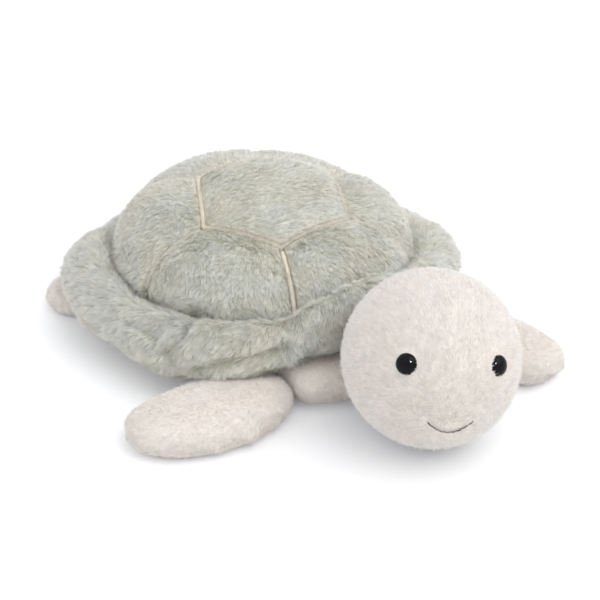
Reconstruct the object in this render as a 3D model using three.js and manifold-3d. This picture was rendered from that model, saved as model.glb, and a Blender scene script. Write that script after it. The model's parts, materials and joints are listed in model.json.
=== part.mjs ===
// Plush sea turtle lying on its belly, in millimetres, +Z up.
// The origin is on the floor under the middle of the shell. The head points towards -Y,
// so the turtle's own right side is at -X and its own left side is at +X.
// Every cloth cover is a thin shell that is open where it is sewn on, with its stuffing inside.
import * as THREE from 'three';
import { mergeVertices } from 'three/addons/utils/BufferGeometryUtils.js';
import Module from 'manifold-3d';

const wasm = await Module();
wasm.setup();

const { cos, sin, abs, max, min, sign, hypot, exp, floor, PI } = Math;
const degrees = PI / 180;

// Cloth, thread and the clearance between pieces that touch
const clothThickness = 3;
const fitGap = 0.3;
const stuffingGap = 0.9;
const cutOverrun = 4;
const pipingRadius = 1.2;
const threadRadius = 0.6;

// Shell dome: its half sizes at the base, the base's height, the rise above it and the powers
// of its curve. The shell lies a little lower towards its left side.
const domeHalfWidth = 91;
const domeHalfLength = 94;
const domeRearLength = 91;
const domeBaseHeight = 45;
const domeRise = 49;
const domeRoundness = 2.4;
const domeShoulder = 1.4;
const shellLean = 9;
const leanDegrees = 110;
const scutePuff = 3;

// Corners of the middle scute, as shares of the dome's half sizes, from the front left one
// round by the left, and the way from the front in which each corner's seam runs out
const hexagonCornerShares = [
  [0.257, -0.568],
  [0.58, -0.01],
  [0.277, 0.358],
  [-0.275, 0.35],
  [-0.592, -0.141],
  [-0.319, -0.586],
];
const seamEndDegrees = [41, 92, 148, -148, -88, -26];
const scuteNames = ['front_left', 'rear_left', 'rear', 'rear_right', 'front_right', 'front'];

// Underside cover: it narrows to a waist inside the rim and spreads to a lip under the dome
const waistShare = 0.93;
const lipShare = 0.985;
const waistHeightShare = 0.73;
const bellyEdgeHeight = 12;
const bellyEdgeRounding = 12;
const shoulderDrop = 1.5;
// How far the belly reaches at each angle from the front, as a share of the dome's half width
const bellyReachShares = [
  [-180, 0.94],
  [-66, 0.94],
  [-52, 0.99],
  [-40, 1.07],
  [-29, 1.25],
  [-20, 1.35],
  [0, 1.4],
  [14, 1.32],
  [26, 1.12],
  [40, 1.07],
  [52, 0.99],
  [66, 0.94],
];

// Rim roll round the dome: at each angle from the front (left side positive) its reach as a
// share of the dome's half width, and its underside and top as shares of the base height
const rimShares = [
  [-180, 1.24, 0.25, 0.85],
  [-155, 1.25, 0.28, 0.86],
  [-140, 1.31, 0.35, 0.92],
  [-123, 1.36, 0.385, 0.98],
  [-100, 1.33, 0.28, 1.0],
  [-80, 1.3, 0.26, 1.0],
  [-65, 1.32, 0.32, 1.02],
  [-50, 1.32, 0.42, 1.07],
  [-35, 1.27, 0.48, 1.18],
  [-18, 1.23, 0.57, 1.33],
  [0, 1.21, 0.61, 1.44],
  [18, 1.23, 0.6, 1.42],
  [35, 1.27, 0.54, 1.32],
  [50, 1.36, 0.52, 1.12],
  [65, 1.36, 0.46, 1.06],
  [80, 1.32, 0.34, 0.98],
  [100, 1.28, 0.3, 0.92],
  [123, 1.27, 0.46, 0.92],
  [150, 1.24, 0.27, 0.85],
];
const rimPinchShare = 0.14;
const rimPinchDegrees = 7;
const rimRoundness = 0.88;
const rimOpeningDegrees = 150;

// Head ball with its low snout, resting on the floor
const headRadius = 49.3;
const headAside = -9.5;
const headForward = 163.5;
const snoutSwell = 2.5;
const snoutDropDegrees = 12;
const snoutWidthDegrees = 34;
const faceTurnDegrees = -29.5;
const faceTiltDegrees = 6.8;

// Neck: where its middle lies under the rim, and the angles of its mouth and of its collar
const neckAside = -5;
const neckForward = 110;
const neckHeight = 20;
const headMouthDegrees = 14;
const collarInnerDegrees = 15;
const collarOuterDegrees = 36;

// Safety eyes with a ribbed post, and the washer that is pressed on each post
const eyeRadius = 6;
const eyeDomeHeight = 4.2;
const eyeFlange = 0.9;
const eyeSink = 1.2;
const eyePostRadius = 1.8;
const eyePostLength = 11;
const eyeRib = 0.3;
const eyeRibCount = 4;
const washerRadius = 6.5;
const washerThickness = 1.4;
const eyeSpreadDegrees = 34.9;
const eyeLiftDegrees = 23.4;

// Stitched mouth
const mouthMiddleDegrees = 1;
const mouthHalfDegrees = 15;
const mouthDropDegrees = -16;
const mouthCurlDegrees = 7;

// Flippers: their sizes, where each root is sewn on under the rim, as shares of the dome's half
// sizes, and which way it lies. Reaches are measured from the middle of the root, about which the
// flipper swings.
const frontFlipper = {
  rootReach: 22,
  tipReach: 77.5,
  halfWidth: 27.5,
  thickness: 19,
  bow: 3.5,
  tipTaper: 0.05,
  tipBluntness: 0.13,
};
const rearFlipper = {
  rootReach: 20,
  tipReach: 31,
  halfWidth: 21,
  thickness: 15.5,
  bow: 0,
  tipTaper: 0.08,
  tipBluntness: 0.05,
};
const flippers = [
  { name: 'front_flipper_right', size: frontFlipper, rootShares: [-0.824, -0.968], points: 168.8, side: 1 },
  { name: 'front_flipper_left', size: frontFlipper, rootShares: [0.703, -1.053], points: -76, side: -1 },
  { name: 'rear_flipper_right', size: rearFlipper, rootShares: [-0.901, 0.703], points: 147, side: 1 },
  { name: 'rear_flipper_left', size: rearFlipper, rootShares: [0.901, 0.703], points: 33, side: -1 },
];
const flipperEdgeShare = 0.45;
const flipperFlatShare = 0.74;
const socketGap = 0.3;
const seamSlotWidth = 12;
const seamSlotHeight = 2;

// Numbers of steps on the round forms, outside and in the hollows
const aroundShell = 48;
const aroundHead = 28;
const alongHead = 18;
const aroundHeadHollow = 20;
const alongHeadHollow = 12;
const aroundFlipper = 18;
const alongFlipper = 10;
const aroundFlipperHollow = 12;
const alongFlipperHollow = 7;
const aroundSocket = 36;
const aroundPost = 14;
const rimWallSteps = 10;
const rimStuffingSteps = 10;
const scuteStepsAcross = 7;
const scuteStepsAlong = 6;
const hexagonEdgeSteps = 4;
const hexagonRingShares = [0, 0.4, 0.7, 0.9, 1];
const puffPower = 4;
const stuffingRingDegrees = [78, 60, 40, 20, 0];
const cordSides = 6;
const seamShares = [0, 0.2, 0.4, 0.6, 0.8, 0.92, 1];
const seamSteps = 8;
const mouthShares = [-1, -0.6, -0.2, 0.2, 0.6, 1];
const mouthSteps = 10;
const eyeDomeDegrees = [0, 22, 45, 67, 90];

// Finishes
const finishes = {
  sage_plush: { color: 0xb4beb1, roughness: 0.95, metalness: 0 },
  cream_plush: { color: 0xe6ded6, roughness: 0.95, metalness: 0 },
  seam_piping: { color: 0xe8dcc3, roughness: 0.85, metalness: 0 },
  stuffing: { color: 0xf3f1ec, roughness: 1, metalness: 0 },
  eye_plastic: { color: 0x0b0c10, roughness: 0.12, metalness: 0 },
  washer_plastic: { color: 0xd9dad6, roughness: 0.5, metalness: 0 },
  mouth_thread: { color: 0x6f655d, roughness: 0.8, metalness: 0 },
};

// Solids: a closed geometry becomes a solid to cut and join, and goes back to a geometry
function solidFrom(geometry) {
  const bare = geometry.clone();
  bare.deleteAttribute('normal');
  bare.deleteAttribute('uv');
  const merged = mergeVertices(bare);
  const solid = new wasm.Manifold(new wasm.Mesh({
    numProp: 3,
    vertProperties: merged.attributes.position.array,
    triVerts: Uint32Array.from(merged.index.array),
  }));
  return solid;
}

function geometryFrom(solid) {
  const mesh = solid.getMesh();
  const geometry = new THREE.BufferGeometry();
  geometry.setAttribute('position', new THREE.BufferAttribute(new Float32Array(mesh.vertProperties), 3));
  geometry.setIndex(new THREE.BufferAttribute(new Uint32Array(mesh.triVerts), 1));
  geometry.computeVertexNormals();
  return geometry;
}

function pieceFrom(name, solid, finish) {
  const piece = new THREE.Mesh(geometryFrom(solid), new THREE.MeshStandardMaterial(finishes[finish]));
  piece.name = name;
  return piece;
}

// Moves each vertex of a geometry to the place that the function gives for it
function reshape(geometry, placeOf) {
  const position = geometry.attributes.position;
  const vertex = new THREE.Vector3();
  for (let i = 0; i < position.count; i += 1) {
    vertex.fromBufferAttribute(position, i);
    const place = placeOf(vertex, i);
    position.setXYZ(i, place.x, place.y, place.z);
  }
  return geometry;
}

// A turned form whose profile changes with the angle from the front, left side positive
function turnedForm(profileAt, steps) {
  const profile = profileAt(0);
  const turned = new THREE.LatheGeometry(profile, steps);
  return reshape(turned, (vertex, i) => {
    const step = floor(i / profile.length) % steps;
    const angle = -PI + (step * 2 * PI) / steps;
    const point = profileAt(angle)[i % profile.length];
    return new THREE.Vector3(point.x * sin(angle), -point.x * cos(angle), point.y);
  });
}

function facingOut(geometry) {
  const solid = solidFrom(geometry);
  if (solid.volume() > 0) return solid;
  const index = geometry.index.array;
  for (let i = 0; i < index.length; i += 3) {
    [index[i], index[i + 1]] = [index[i + 1], index[i]];
  }
  return solidFrom(geometry);
}

function uprightCylinder(radius, place, low, high) {
  const corner = radius / cos(PI / aroundSocket);
  const cylinder = new THREE.CylinderGeometry(corner, corner, high - low, aroundSocket);
  cylinder.rotateX(PI / 2);
  cylinder.translate(place.x, place.y, (low + high) / 2);
  return solidFrom(cylinder);
}

function ball(radius, place) {
  const corner = radius / cos(PI / aroundHead) / cos(PI / 2 / alongHead);
  const sphere = new THREE.SphereGeometry(corner, aroundHead, alongHead);
  sphere.translate(place.x, place.y, place.z);
  return solidFrom(sphere);
}

// Values listed by angle once round, joined smoothly
function valueAt(table, column, angle) {
  const turn = angle / degrees;
  const rows = [...table, [180, ...table[0].slice(1)]];
  const next = max(1, rows.findIndex((row) => row[0] >= turn));
  const [from, to] = [rows[next - 1], rows[next]];
  const share = THREE.MathUtils.smoothstep(turn, from[0], to[0]);
  return from[column] + (to[column] - from[column]) * share;
}

// Dome: the radius of its outline at an angle, its height over a place and its outward slope
function halfLengthAt(y) {
  return y > 0 ? domeRearLength : domeHalfLength;
}

function outlineRadius(angle) {
  return 1 / hypot(sin(angle) / domeHalfWidth, cos(angle) / halfLengthAt(-cos(angle)));
}

function outlinePlace(angle) {
  return new THREE.Vector2(sin(angle), -cos(angle)).multiplyScalar(outlineRadius(angle));
}

function baseHeight(x, y) {
  const lean = leanDegrees * degrees;
  const across = (sin(lean) * x) / domeHalfWidth - (cos(lean) * y) / halfLengthAt(y);
  return domeBaseHeight - (shellLean * (1 + across)) / 2;
}

function baseHeightAt(angle) {
  const place = outlinePlace(angle);
  return baseHeight(place.x, place.y);
}

function domeShare(x, y) {
  return hypot(x / domeHalfWidth, y / halfLengthAt(y));
}

function domeHeight(x, y) {
  const rise = max(0, 1 - domeShare(x, y) ** domeRoundness) ** (1 / domeShoulder);
  return baseHeight(x, y) + domeRise * rise;
}

function domeNormal(x, y) {
  const share = max(domeShare(x, y), Number.EPSILON);
  const slope = domeRoundness * share ** (domeRoundness - 2);
  const rise = max(0, 1 - share ** domeRoundness) ** (1 / domeShoulder);
  return new THREE.Vector3(
    (slope * x) / domeHalfWidth ** 2,
    (slope * y) / halfLengthAt(y) ** 2,
    (domeShoulder * rise ** (domeShoulder - 1)) / domeRise,
  ).normalize();
}

function onDome(x, y, depth, puff = 0) {
  const normal = domeNormal(x, y);
  return new THREE.Vector3(x, y, domeHeight(x, y)).addScaledVector(normal, puff - depth);
}

function sharedPlace([across, along]) {
  return new THREE.Vector2(across * domeHalfWidth, along * halfLengthAt(along));
}

const cornerPlaces = hexagonCornerShares.map(sharedPlace);
const seamEnds = seamEndDegrees.map((turn) => outlinePlace(turn * degrees));
const seamInset = pipingRadius + fitGap;

// Point on the middle scute's outline, drawn in by an inset from its seam
function hexagonPoint(edge, share, inset) {
  const from = cornerPlaces[edge % 6];
  const to = cornerPlaces[(edge + 1) % 6];
  const point = from.clone().lerp(to, share);
  const middle = cornerPlaces.reduce((sum, place) => sum.add(place), new THREE.Vector2()).divideScalar(6);
  const across = to.clone().sub(from).rotateAround(new THREE.Vector2(), -PI / 2).normalize();
  const reach = abs(across.dot(from.clone().sub(middle)));
  return middle.clone().add(point.sub(middle).multiplyScalar((reach - inset) / reach));
}

function middleScute() {
  const steps = 6 * hexagonEdgeSteps;
  const profile = [
    ...hexagonRingShares.map((share) => new THREE.Vector2(share, 1)),
    ...hexagonRingShares.map((share) => new THREE.Vector2(share, 0)).reverse(),
  ];
  const turned = new THREE.LatheGeometry(profile, steps);
  const centre = hexagonPoint(0, 0, 0).add(hexagonPoint(3, 0, 0)).divideScalar(2);
  return facingOut(reshape(turned, (vertex, i) => {
    const step = floor(i / profile.length) % steps;
    const { x: ring, y: top } = profile[i % profile.length];
    const edge = floor(step / hexagonEdgeSteps);
    const rim = hexagonPoint(edge, (step % hexagonEdgeSteps) / hexagonEdgeSteps, seamInset);
    const place = centre.clone().lerp(rim, ring);
    const puff = scutePuff * top * (1 - ring ** puffPower);
    return onDome(place.x, place.y, top ? 0 : clothThickness, puff);
  }));
}

function outerScute(edge) {
  const box = new THREE.BoxGeometry(1, 1, 1, scuteStepsAcross, scuteStepsAlong, 1);
  const from = seamEndDegrees[edge];
  const turn = THREE.MathUtils.euclideanModulo(seamEndDegrees[(edge + 1) % 6] - from, 360);
  const [start, end] = [cornerPlaces[edge], cornerPlaces[(edge + 1) % 6]];
  const side = end.clone().sub(start).normalize();
  const placeAt = (across, along) => {
    const inner = start.clone().lerp(end, across);
    const outer = outlinePlace((from + turn * across) * degrees);
    const first = seamInset / abs(side.cross(outer.clone().sub(inner)));
    return inner.lerp(outer, first + (1 - first) * along);
  };
  const seams = [edge, (edge + 1) % 6].map((i) => seamEnds[i].clone().sub(cornerPlaces[i]).normalize());
  return facingOut(reshape(box, (vertex) => {
    const across = vertex.x + 0.5;
    const along = sin((vertex.y + 0.5) * (PI / 2));
    const row = placeAt(1, along).sub(placeAt(0, along));
    const [first, last] = seams.map((seam) => seamInset / abs(row.cross(seam)));
    const place = placeAt(first + across * (1 - first - last), along);
    const puff = (1 - abs(2 * across - 1) ** puffPower) * (1 - abs(2 * along - 1) ** puffPower);
    const top = vertex.z > 0;
    return onDome(place.x, place.y, top ? 0 : clothThickness, top ? scutePuff * puff : 0);
  }));
}

// Piping: a ring round the middle scute and one cord down each seam between outer scutes
function hexagonPiping() {
  const circle = Array.from({ length: cordSides + 1 }, (_, i) => {
    const turn = (i % cordSides) * (2 * PI / cordSides);
    return new THREE.Vector2(1 + cos(turn), sin(turn));
  });
  const steps = 6 * hexagonEdgeSteps;
  const ring = new THREE.LatheGeometry(circle, steps);
  return facingOut(reshape(ring, (vertex, i) => {
    const step = floor(i / circle.length) % steps;
    const turn = (i % circle.length % cordSides) * (2 * PI / cordSides);
    const edge = floor(step / hexagonEdgeSteps);
    const share = (step % hexagonEdgeSteps) / hexagonEdgeSteps;
    const place = hexagonPoint(edge, share, -pipingRadius * cos(turn));
    return onDome(place.x, place.y, pipingRadius * (1 - sin(turn)));
  }));
}

function cordSection(radius) {
  const circle = new THREE.Shape();
  for (let i = 0; i < cordSides; i += 1) {
    const turn = (i * 2 * PI) / cordSides;
    if (i === 0) circle.moveTo(radius, 0);
    else circle.lineTo(radius * cos(turn), radius * sin(turn));
  }
  return circle;
}

function cordAlong(points, radius, steps) {
  const extrudePath = new THREE.CatmullRomCurve3(points);
  const cord = new THREE.ExtrudeGeometry(cordSection(radius), { steps, extrudePath, bevelEnabled: false });
  return facingOut(cord);
}

function seamPiping(corner) {
  const from = cornerPlaces[corner];
  const to = seamEnds[corner];
  const start = (2 * pipingRadius + fitGap) / from.distanceTo(to);
  const end = 1 - pipingRadius / from.distanceTo(to);
  const points = seamShares.map((share) => {
    const place = from.clone().lerp(to, start + (end - start) * share);
    return onDome(place.x, place.y, pipingRadius);
  });
  return cordAlong(points, pipingRadius, seamSteps);
}

// Belly and body stuffing share one profile, drawn in by the cloth's thickness
function bellyProfile(angle, inset) {
  const outline = outlineRadius(angle);
  const reach = valueAt(bellyReachShares, 1, angle) * domeHalfWidth - inset;
  const waist = waistShare * outline - inset;
  const shoulder = max(waist, reach - bellyEdgeRounding / 2);
  const base = baseHeightAt(angle);
  const underRim = valueAt(rimShares, 2, angle) * base - 2 * fitGap - inset;
  const shoulderTop = max(underRim, bellyEdgeHeight + shoulderDrop);
  const point = (radius, height) => new THREE.Vector2(radius, height);
  return [
    point(0, inset),
    point(waist / 2, inset),
    point(reach - bellyEdgeRounding, inset),
    point(reach - bellyEdgeRounding / 4, inset + bellyEdgeRounding / 4),
    point(reach, bellyEdgeHeight),
    point((reach + shoulder) / 2, shoulderTop - shoulderDrop),
    point(shoulder, shoulderTop - shoulderDrop / 2),
    point(waist, shoulderTop),
    point(waist, waistHeightShare * base),
    point(lipShare * outline - inset, base - fitGap),
  ];
}

function bellyForm(inset, overrun) {
  return facingOut(turnedForm((angle) => {
    const profile = bellyProfile(angle, inset);
    const lip = profile[profile.length - 1];
    return [
      ...profile,
      new THREE.Vector2(lip.x, lip.y + overrun),
      new THREE.Vector2(0, baseHeight(0, 0) - fitGap + overrun),
    ];
  }, aroundShell));
}

function bodyStuffingForm() {
  const inset = clothThickness + stuffingGap;
  return facingOut(turnedForm((angle) => {
    const outline = outlineRadius(angle);
    const dome = stuffingRingDegrees.map((turn) => {
      const radius = outline * sin(turn * degrees) ** (2 / domeRoundness);
      const place = onDome(radius * sin(angle), -radius * cos(angle), inset);
      return new THREE.Vector2(turn === 0 ? 0 : hypot(place.x, place.y), place.z);
    });
    return [...bellyProfile(angle, inset), ...dome];
  }, aroundShell));
}

const headPlace = new THREE.Vector3(headAside, -headForward, headRadius + fitGap);
const neckPlace = new THREE.Vector3(neckAside, -neckForward, neckHeight);
const neckWay = neckPlace.clone().sub(headPlace).normalize();
const collarRadius = headRadius + 2 * fitGap;
const seatRadius = collarRadius + clothThickness + fitGap;

// Sockets of the front flippers and the seat of the head, cut with a given clearance
function cutForNeighbours(solid, clearance) {
  let cut = solid.subtract(ball(seatRadius + clearance, headPlace));
  for (const { size, rootShares } of flippers) {
    const radius = size.rootReach + socketGap + clearance;
    const top = size.thickness + clearance + 2 * cutOverrun;
    cut = cut.subtract(uprightCylinder(radius, sharedPlace(rootShares), -cutOverrun, top));
  }
  return cut;
}

function neckBore(radius) {
  const length = seatRadius + 2 * cutOverrun;
  const bore = new THREE.CylinderGeometry(radius, radius, length, aroundFlipper);
  bore.translate(0, length / 2, 0);
  bore.applyQuaternion(new THREE.Quaternion().setFromUnitVectors(new THREE.Vector3(0, 1, 0), neckWay));
  bore.translate(headPlace.x, headPlace.y, headPlace.z);
  return solidFrom(bore);
}

function bellyCover() {
  const outside = cutForNeighbours(bellyForm(0, 0), 0);
  const inside = cutForNeighbours(bellyForm(clothThickness, cutOverrun), clothThickness);
  const mouth = neckBore(headRadius * sin(headMouthDegrees * degrees));
  return outside.subtract(inside).subtract(mouth);
}

function bodyStuffing() {
  return cutForNeighbours(bodyStuffingForm(), clothThickness + stuffingGap);
}

// Rim roll: its cloth is a strip with both edges sewn to the body, so the roll is open inwards
function rimInnerRadius(angle, height, wall) {
  const outline = outlineRadius(angle);
  const waist = waistShare * outline + 2 * fitGap;
  const besideLip = outline + 2 * fitGap;
  const base = baseHeightAt(angle);
  const waistTop = waistHeightShare * base;
  const lift = THREE.MathUtils.clamp((height - waistTop + fitGap) / (base - waistTop), 0, 1);
  const rise = THREE.MathUtils.clamp((height - base) / domeRise, 0, 1);
  const lean = (1 - rise ** domeShoulder) ** (1 / domeRoundness);
  const dome = (outline + scutePuff) * lean + fitGap;
  return wall + (height > base ? max(dome, besideLip * lean) : waist + (besideLip - waist) * lift);
}

function pinchAt(angle) {
  const nearest = min(...seamEndDegrees.map((turn) => {
    const apart = abs(angle / degrees - turn) % 360;
    return min(apart, 360 - apart);
  }));
  return 1 - rimPinchShare * exp(-((nearest / rimPinchDegrees) ** 2));
}

function rimPoint(angle, turn, wall) {
  const reach = valueAt(rimShares, 1, angle) * domeHalfWidth;
  const base = baseHeightAt(angle);
  const low = valueAt(rimShares, 2, angle) * base;
  const high = valueAt(rimShares, 3, angle) * base;
  const inner = waistShare * outlineRadius(angle) + fitGap;
  const pinch = pinchAt(angle);
  const halfWidth = (reach - inner) / 2;
  const halfHeight = ((high - low) / 2) * pinch;
  const round = (value) => sign(value) * abs(value) ** rimRoundness;
  const height = (low + high) / 2 + (halfHeight - wall) * round(sin(turn));
  const radius = inner + halfWidth + (halfWidth * pinch - wall) * round(cos(turn));
  return new THREE.Vector2(max(radius, rimInnerRadius(angle, height, wall)), height);
}

function rimCover() {
  const open = rimOpeningDegrees * degrees;
  return facingOut(turnedForm((angle) => {
    const turns = Array.from({ length: rimWallSteps + 1 }, (_, i) => open * ((2 * i) / rimWallSteps - 1));
    const outside = turns.map((turn) => rimPoint(angle, turn, 0));
    const inside = turns.map((turn) => rimPoint(angle, turn, clothThickness)).reverse();
    return [...outside, ...inside, outside[0].clone()];
  }, aroundShell));
}

function rimStuffing() {
  return facingOut(turnedForm((angle) => Array.from({ length: rimStuffingSteps + 1 }, (_, i) => {
    const turn = ((i % rimStuffingSteps) * 2 * PI) / rimStuffingSteps;
    return rimPoint(angle, turn, clothThickness + 2 * stuffingGap);
  }), aroundShell));
}

// Head: a ball with a low snout, in its own frame with the face towards -Y
const headTurn = new THREE.Quaternion()
  .setFromAxisAngle(new THREE.Vector3(0, 0, 1), faceTurnDegrees * degrees)
  .multiply(new THREE.Quaternion().setFromAxisAngle(new THREE.Vector3(0, 1, 0), faceTiltDegrees * degrees));

function faceWay(asideDegrees, liftDegrees) {
  const aside = asideDegrees * degrees;
  const lift = liftDegrees * degrees;
  return new THREE.Vector3(sin(aside) * cos(lift), -cos(aside) * cos(lift), sin(lift));
}

const snoutWay = faceWay(0, -snoutDropDegrees);

function headReach(way) {
  const apart = way.angleTo(snoutWay) / (snoutWidthDegrees * degrees);
  return headRadius + snoutSwell * exp(-(apart ** 2));
}

function headForm(inset, steps, rows) {
  const sphere = new THREE.SphereGeometry(1, steps, rows);
  sphere.rotateX(PI / 2);
  return solidFrom(reshape(sphere, (vertex) => {
    const way = vertex.clone().normalize();
    return way.multiplyScalar(headReach(way) - inset);
  }));
}

function cylinderOut(way, radius, from, to) {
  const cylinder = new THREE.CylinderGeometry(radius, radius, to - from, aroundPost);
  cylinder.translate(0, (from + to) / 2, 0);
  cylinder.applyQuaternion(new THREE.Quaternion().setFromUnitVectors(new THREE.Vector3(0, 1, 0), way));
  return solidFrom(cylinder);
}

const eyeWays = {
  right: faceWay(-eyeSpreadDegrees, eyeLiftDegrees),
  left: faceWay(eyeSpreadDegrees, eyeLiftDegrees),
};
const washerDrop = clothThickness + stuffingGap + fitGap + washerRadius ** 2 / (2 * headRadius);
const neckWayInHead = neckWay.clone().applyQuaternion(headTurn.clone().invert());
const mouthRadius = headRadius * sin(headMouthDegrees * degrees);

function mouthPoints() {
  return mouthShares.map((share) => {
    const aside = mouthMiddleDegrees + mouthHalfDegrees * share;
    const way = faceWay(aside, mouthDropDegrees + mouthCurlDegrees * share ** 2);
    return way.multiplyScalar(headReach(way));
  });
}

function headCover() {
  const outer = headRadius + snoutSwell + cutOverrun;
  const hollow = headForm(clothThickness, aroundHeadHollow, alongHeadHollow);
  let cover = headForm(0, aroundHead, alongHead).subtract(hollow);
  cover = cover.subtract(cylinderOut(neckWayInHead, mouthRadius, headRadius / 2, outer));
  for (const way of Object.values(eyeWays)) {
    const reach = headReach(way);
    cover = cover.subtract(cylinderOut(way, eyePostRadius + eyeRib + fitGap, reach - 2 * cutOverrun, outer));
    cover = cover.subtract(cylinderOut(way, eyeRadius + fitGap, reach - eyeSink, outer));
  }
  return cover.subtract(cordAlong(mouthPoints(), threadRadius + fitGap, mouthSteps));
}

function headStuffing() {
  let stuffing = headForm(clothThickness + stuffingGap, aroundHeadHollow, alongHeadHollow);
  for (const way of Object.values(eyeWays)) {
    const reach = headReach(way);
    const depth = reach - eyeSink - eyePostLength - fitGap;
    const washerDepth = reach - washerDrop - washerThickness - fitGap;
    stuffing = stuffing.subtract(cylinderOut(way, eyePostRadius + eyeRib + fitGap, depth, reach));
    stuffing = stuffing.subtract(cylinderOut(way, washerRadius + fitGap, washerDepth, reach));
  }
  return stuffing;
}

// Each eye and its post are one moulding, turned about the way in which the eye looks
function eyeForm() {
  const ribPitch = eyePostLength / (eyeRibCount + 2);
  const profile = [new THREE.Vector2(0, -eyePostLength), new THREE.Vector2(eyePostRadius, -eyePostLength)];
  for (let i = 1; i <= eyeRibCount; i += 1) {
    const height = -eyePostLength + i * ribPitch;
    profile.push(new THREE.Vector2(eyePostRadius, height - ribPitch / 4));
    profile.push(new THREE.Vector2(eyePostRadius + eyeRib, height));
    profile.push(new THREE.Vector2(eyePostRadius, height + ribPitch / 4));
  }
  profile.push(new THREE.Vector2(eyePostRadius, 0), new THREE.Vector2(eyeRadius, 0));
  for (const turn of eyeDomeDegrees) {
    const height = eyeFlange + (eyeDomeHeight - eyeFlange) * sin(turn * degrees);
    profile.push(new THREE.Vector2(eyeRadius * max(0, cos(turn * degrees)), height));
  }
  profile[profile.length - 1].x = 0;
  return facingOut(new THREE.LatheGeometry(profile, aroundPost));
}

function washerForm() {
  const bore = eyePostRadius + eyeRib + fitGap;
  const profile = [
    new THREE.Vector2(bore, 0),
    new THREE.Vector2(washerRadius, 0),
    new THREE.Vector2(washerRadius, -washerThickness),
    new THREE.Vector2(bore, -washerThickness),
    new THREE.Vector2(bore, 0),
  ];
  return facingOut(new THREE.LatheGeometry(profile, aroundPost));
}

function placeOut(piece, way, distance) {
  piece.quaternion.setFromUnitVectors(new THREE.Vector3(0, 1, 0), way);
  piece.position.copy(way).multiplyScalar(distance);
  return piece;
}

function headGroup() {
  const head = new THREE.Group();
  head.position.copy(headPlace);
  head.quaternion.copy(headTurn);
  head.add(pieceFrom('head_cover', headCover(), 'cream_plush'));
  head.add(pieceFrom('head_stuffing', headStuffing(), 'stuffing'));
  for (const [side, way] of Object.entries(eyeWays)) {
    const reach = headReach(way);
    const eye = pieceFrom(`eye_${side}`, eyeForm(), 'eye_plastic');
    const washer = pieceFrom(`eye_washer_${side}`, washerForm(), 'washer_plastic');
    head.add(placeOut(eye, way, reach - eyeSink + fitGap), placeOut(washer, way, reach - washerDrop));
  }
  head.add(pieceFrom('mouth_stitch', cordAlong(mouthPoints(), threadRadius, mouthSteps), 'mouth_thread'));
  return head;
}

// Collar: the strip of cloth that joins the neck to the head, curved about the head's middle
function neckCollar() {
  const turns = [collarInnerDegrees, (collarInnerDegrees + collarOuterDegrees) / 2, collarOuterDegrees];
  const arc = (radius) => turns.map(
    (turn) => new THREE.Vector2(radius * sin(turn * degrees), radius * cos(turn * degrees)),
  );
  const inside = arc(collarRadius);
  const outside = arc(collarRadius + clothThickness).reverse();
  const ring = facingOut(new THREE.LatheGeometry([...inside, ...outside, inside[0].clone()], aroundHead));
  const collar = pieceFrom('neck_collar', ring, 'cream_plush');
  placeOut(collar, neckWay, 0);
  collar.position.copy(headPlace);
  return collar;
}

// Flipper: a flat-bottomed paddle, in its own frame with its root at the origin and its tip
// towards +X, from a sphere that is drawn in by an inset
function flipperForm(size, side, inset, steps, rows) {
  const halfLength = (size.rootReach + size.tipReach) / 2 - inset;
  const middle = (size.tipReach - size.rootReach) / 2;
  const edgeHeight = flipperEdgeShare * size.thickness;
  const sphere = new THREE.SphereGeometry(1, steps, rows);
  sphere.rotateZ(PI / 2);
  return facingOut(reshape(sphere, (vertex) => {
    const blunt = max(Number.EPSILON, 1 - max(0, vertex.x) ** 2) ** -size.tipBluntness;
    const taper = (1 - size.tipTaper * vertex.x) * blunt;
    const bow = side * size.bow * (1 - vertex.x ** 2);
    const top = size.thickness - edgeHeight - inset;
    const low = edgeHeight - fitGap - inset;
    const lift = vertex.z > 0 ? top * vertex.z : -low * min(1, -vertex.z / flipperFlatShare);
    return new THREE.Vector3(
      middle + halfLength * vertex.x,
      (size.halfWidth - inset) * vertex.y * taper + bow,
      edgeHeight + lift,
    );
  }));
}

function flipperCover(size, side) {
  const outside = flipperForm(size, side, 0, aroundFlipper, alongFlipper);
  const inside = flipperForm(size, side, clothThickness, aroundFlipperHollow, alongFlipperHollow);
  const slot = new THREE.BoxGeometry(size.rootReach, seamSlotWidth, seamSlotHeight);
  slot.translate(-size.rootReach, 0, flipperEdgeShare * size.thickness);
  return outside.subtract(inside).subtract(solidFrom(slot));
}

function flipperGroup({ name, size, rootShares, points, side }) {
  const flipper = new THREE.Group();
  const root = sharedPlace(rootShares);
  flipper.position.set(root.x, root.y, 0);
  flipper.rotation.z = points * degrees;
  flipper.add(pieceFrom(`${name}_cover`, flipperCover(size, side), 'cream_plush'));
  const inset = clothThickness + stuffingGap;
  const stuffing = flipperForm(size, side, inset, aroundFlipperHollow, alongFlipperHollow);
  flipper.add(pieceFrom(`${name}_stuffing`, stuffing, 'stuffing'));
  return flipper;
}

const turtle = new THREE.Group();
turtle.add(pieceFrom('belly_cover', bellyCover(), 'cream_plush'));
turtle.add(pieceFrom('body_stuffing', bodyStuffing(), 'stuffing'));
turtle.add(pieceFrom('rim_cover', rimCover(), 'sage_plush'));
turtle.add(pieceFrom('rim_stuffing', rimStuffing(), 'stuffing'));
turtle.add(pieceFrom('scute_middle', middleScute(), 'sage_plush'));
turtle.add(pieceFrom('piping_middle', hexagonPiping(), 'seam_piping'));
scuteNames.forEach((place, edge) => {
  turtle.add(pieceFrom(`scute_${place}`, outerScute(edge), 'sage_plush'));
  turtle.add(pieceFrom(`piping_seam_${edge + 1}`, seamPiping(edge), 'seam_piping'));
});
turtle.add(neckCollar());
turtle.add(headGroup());
for (const flipper of flippers) {
  turtle.add(flipperGroup(flipper));
}

export default turtle;
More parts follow.
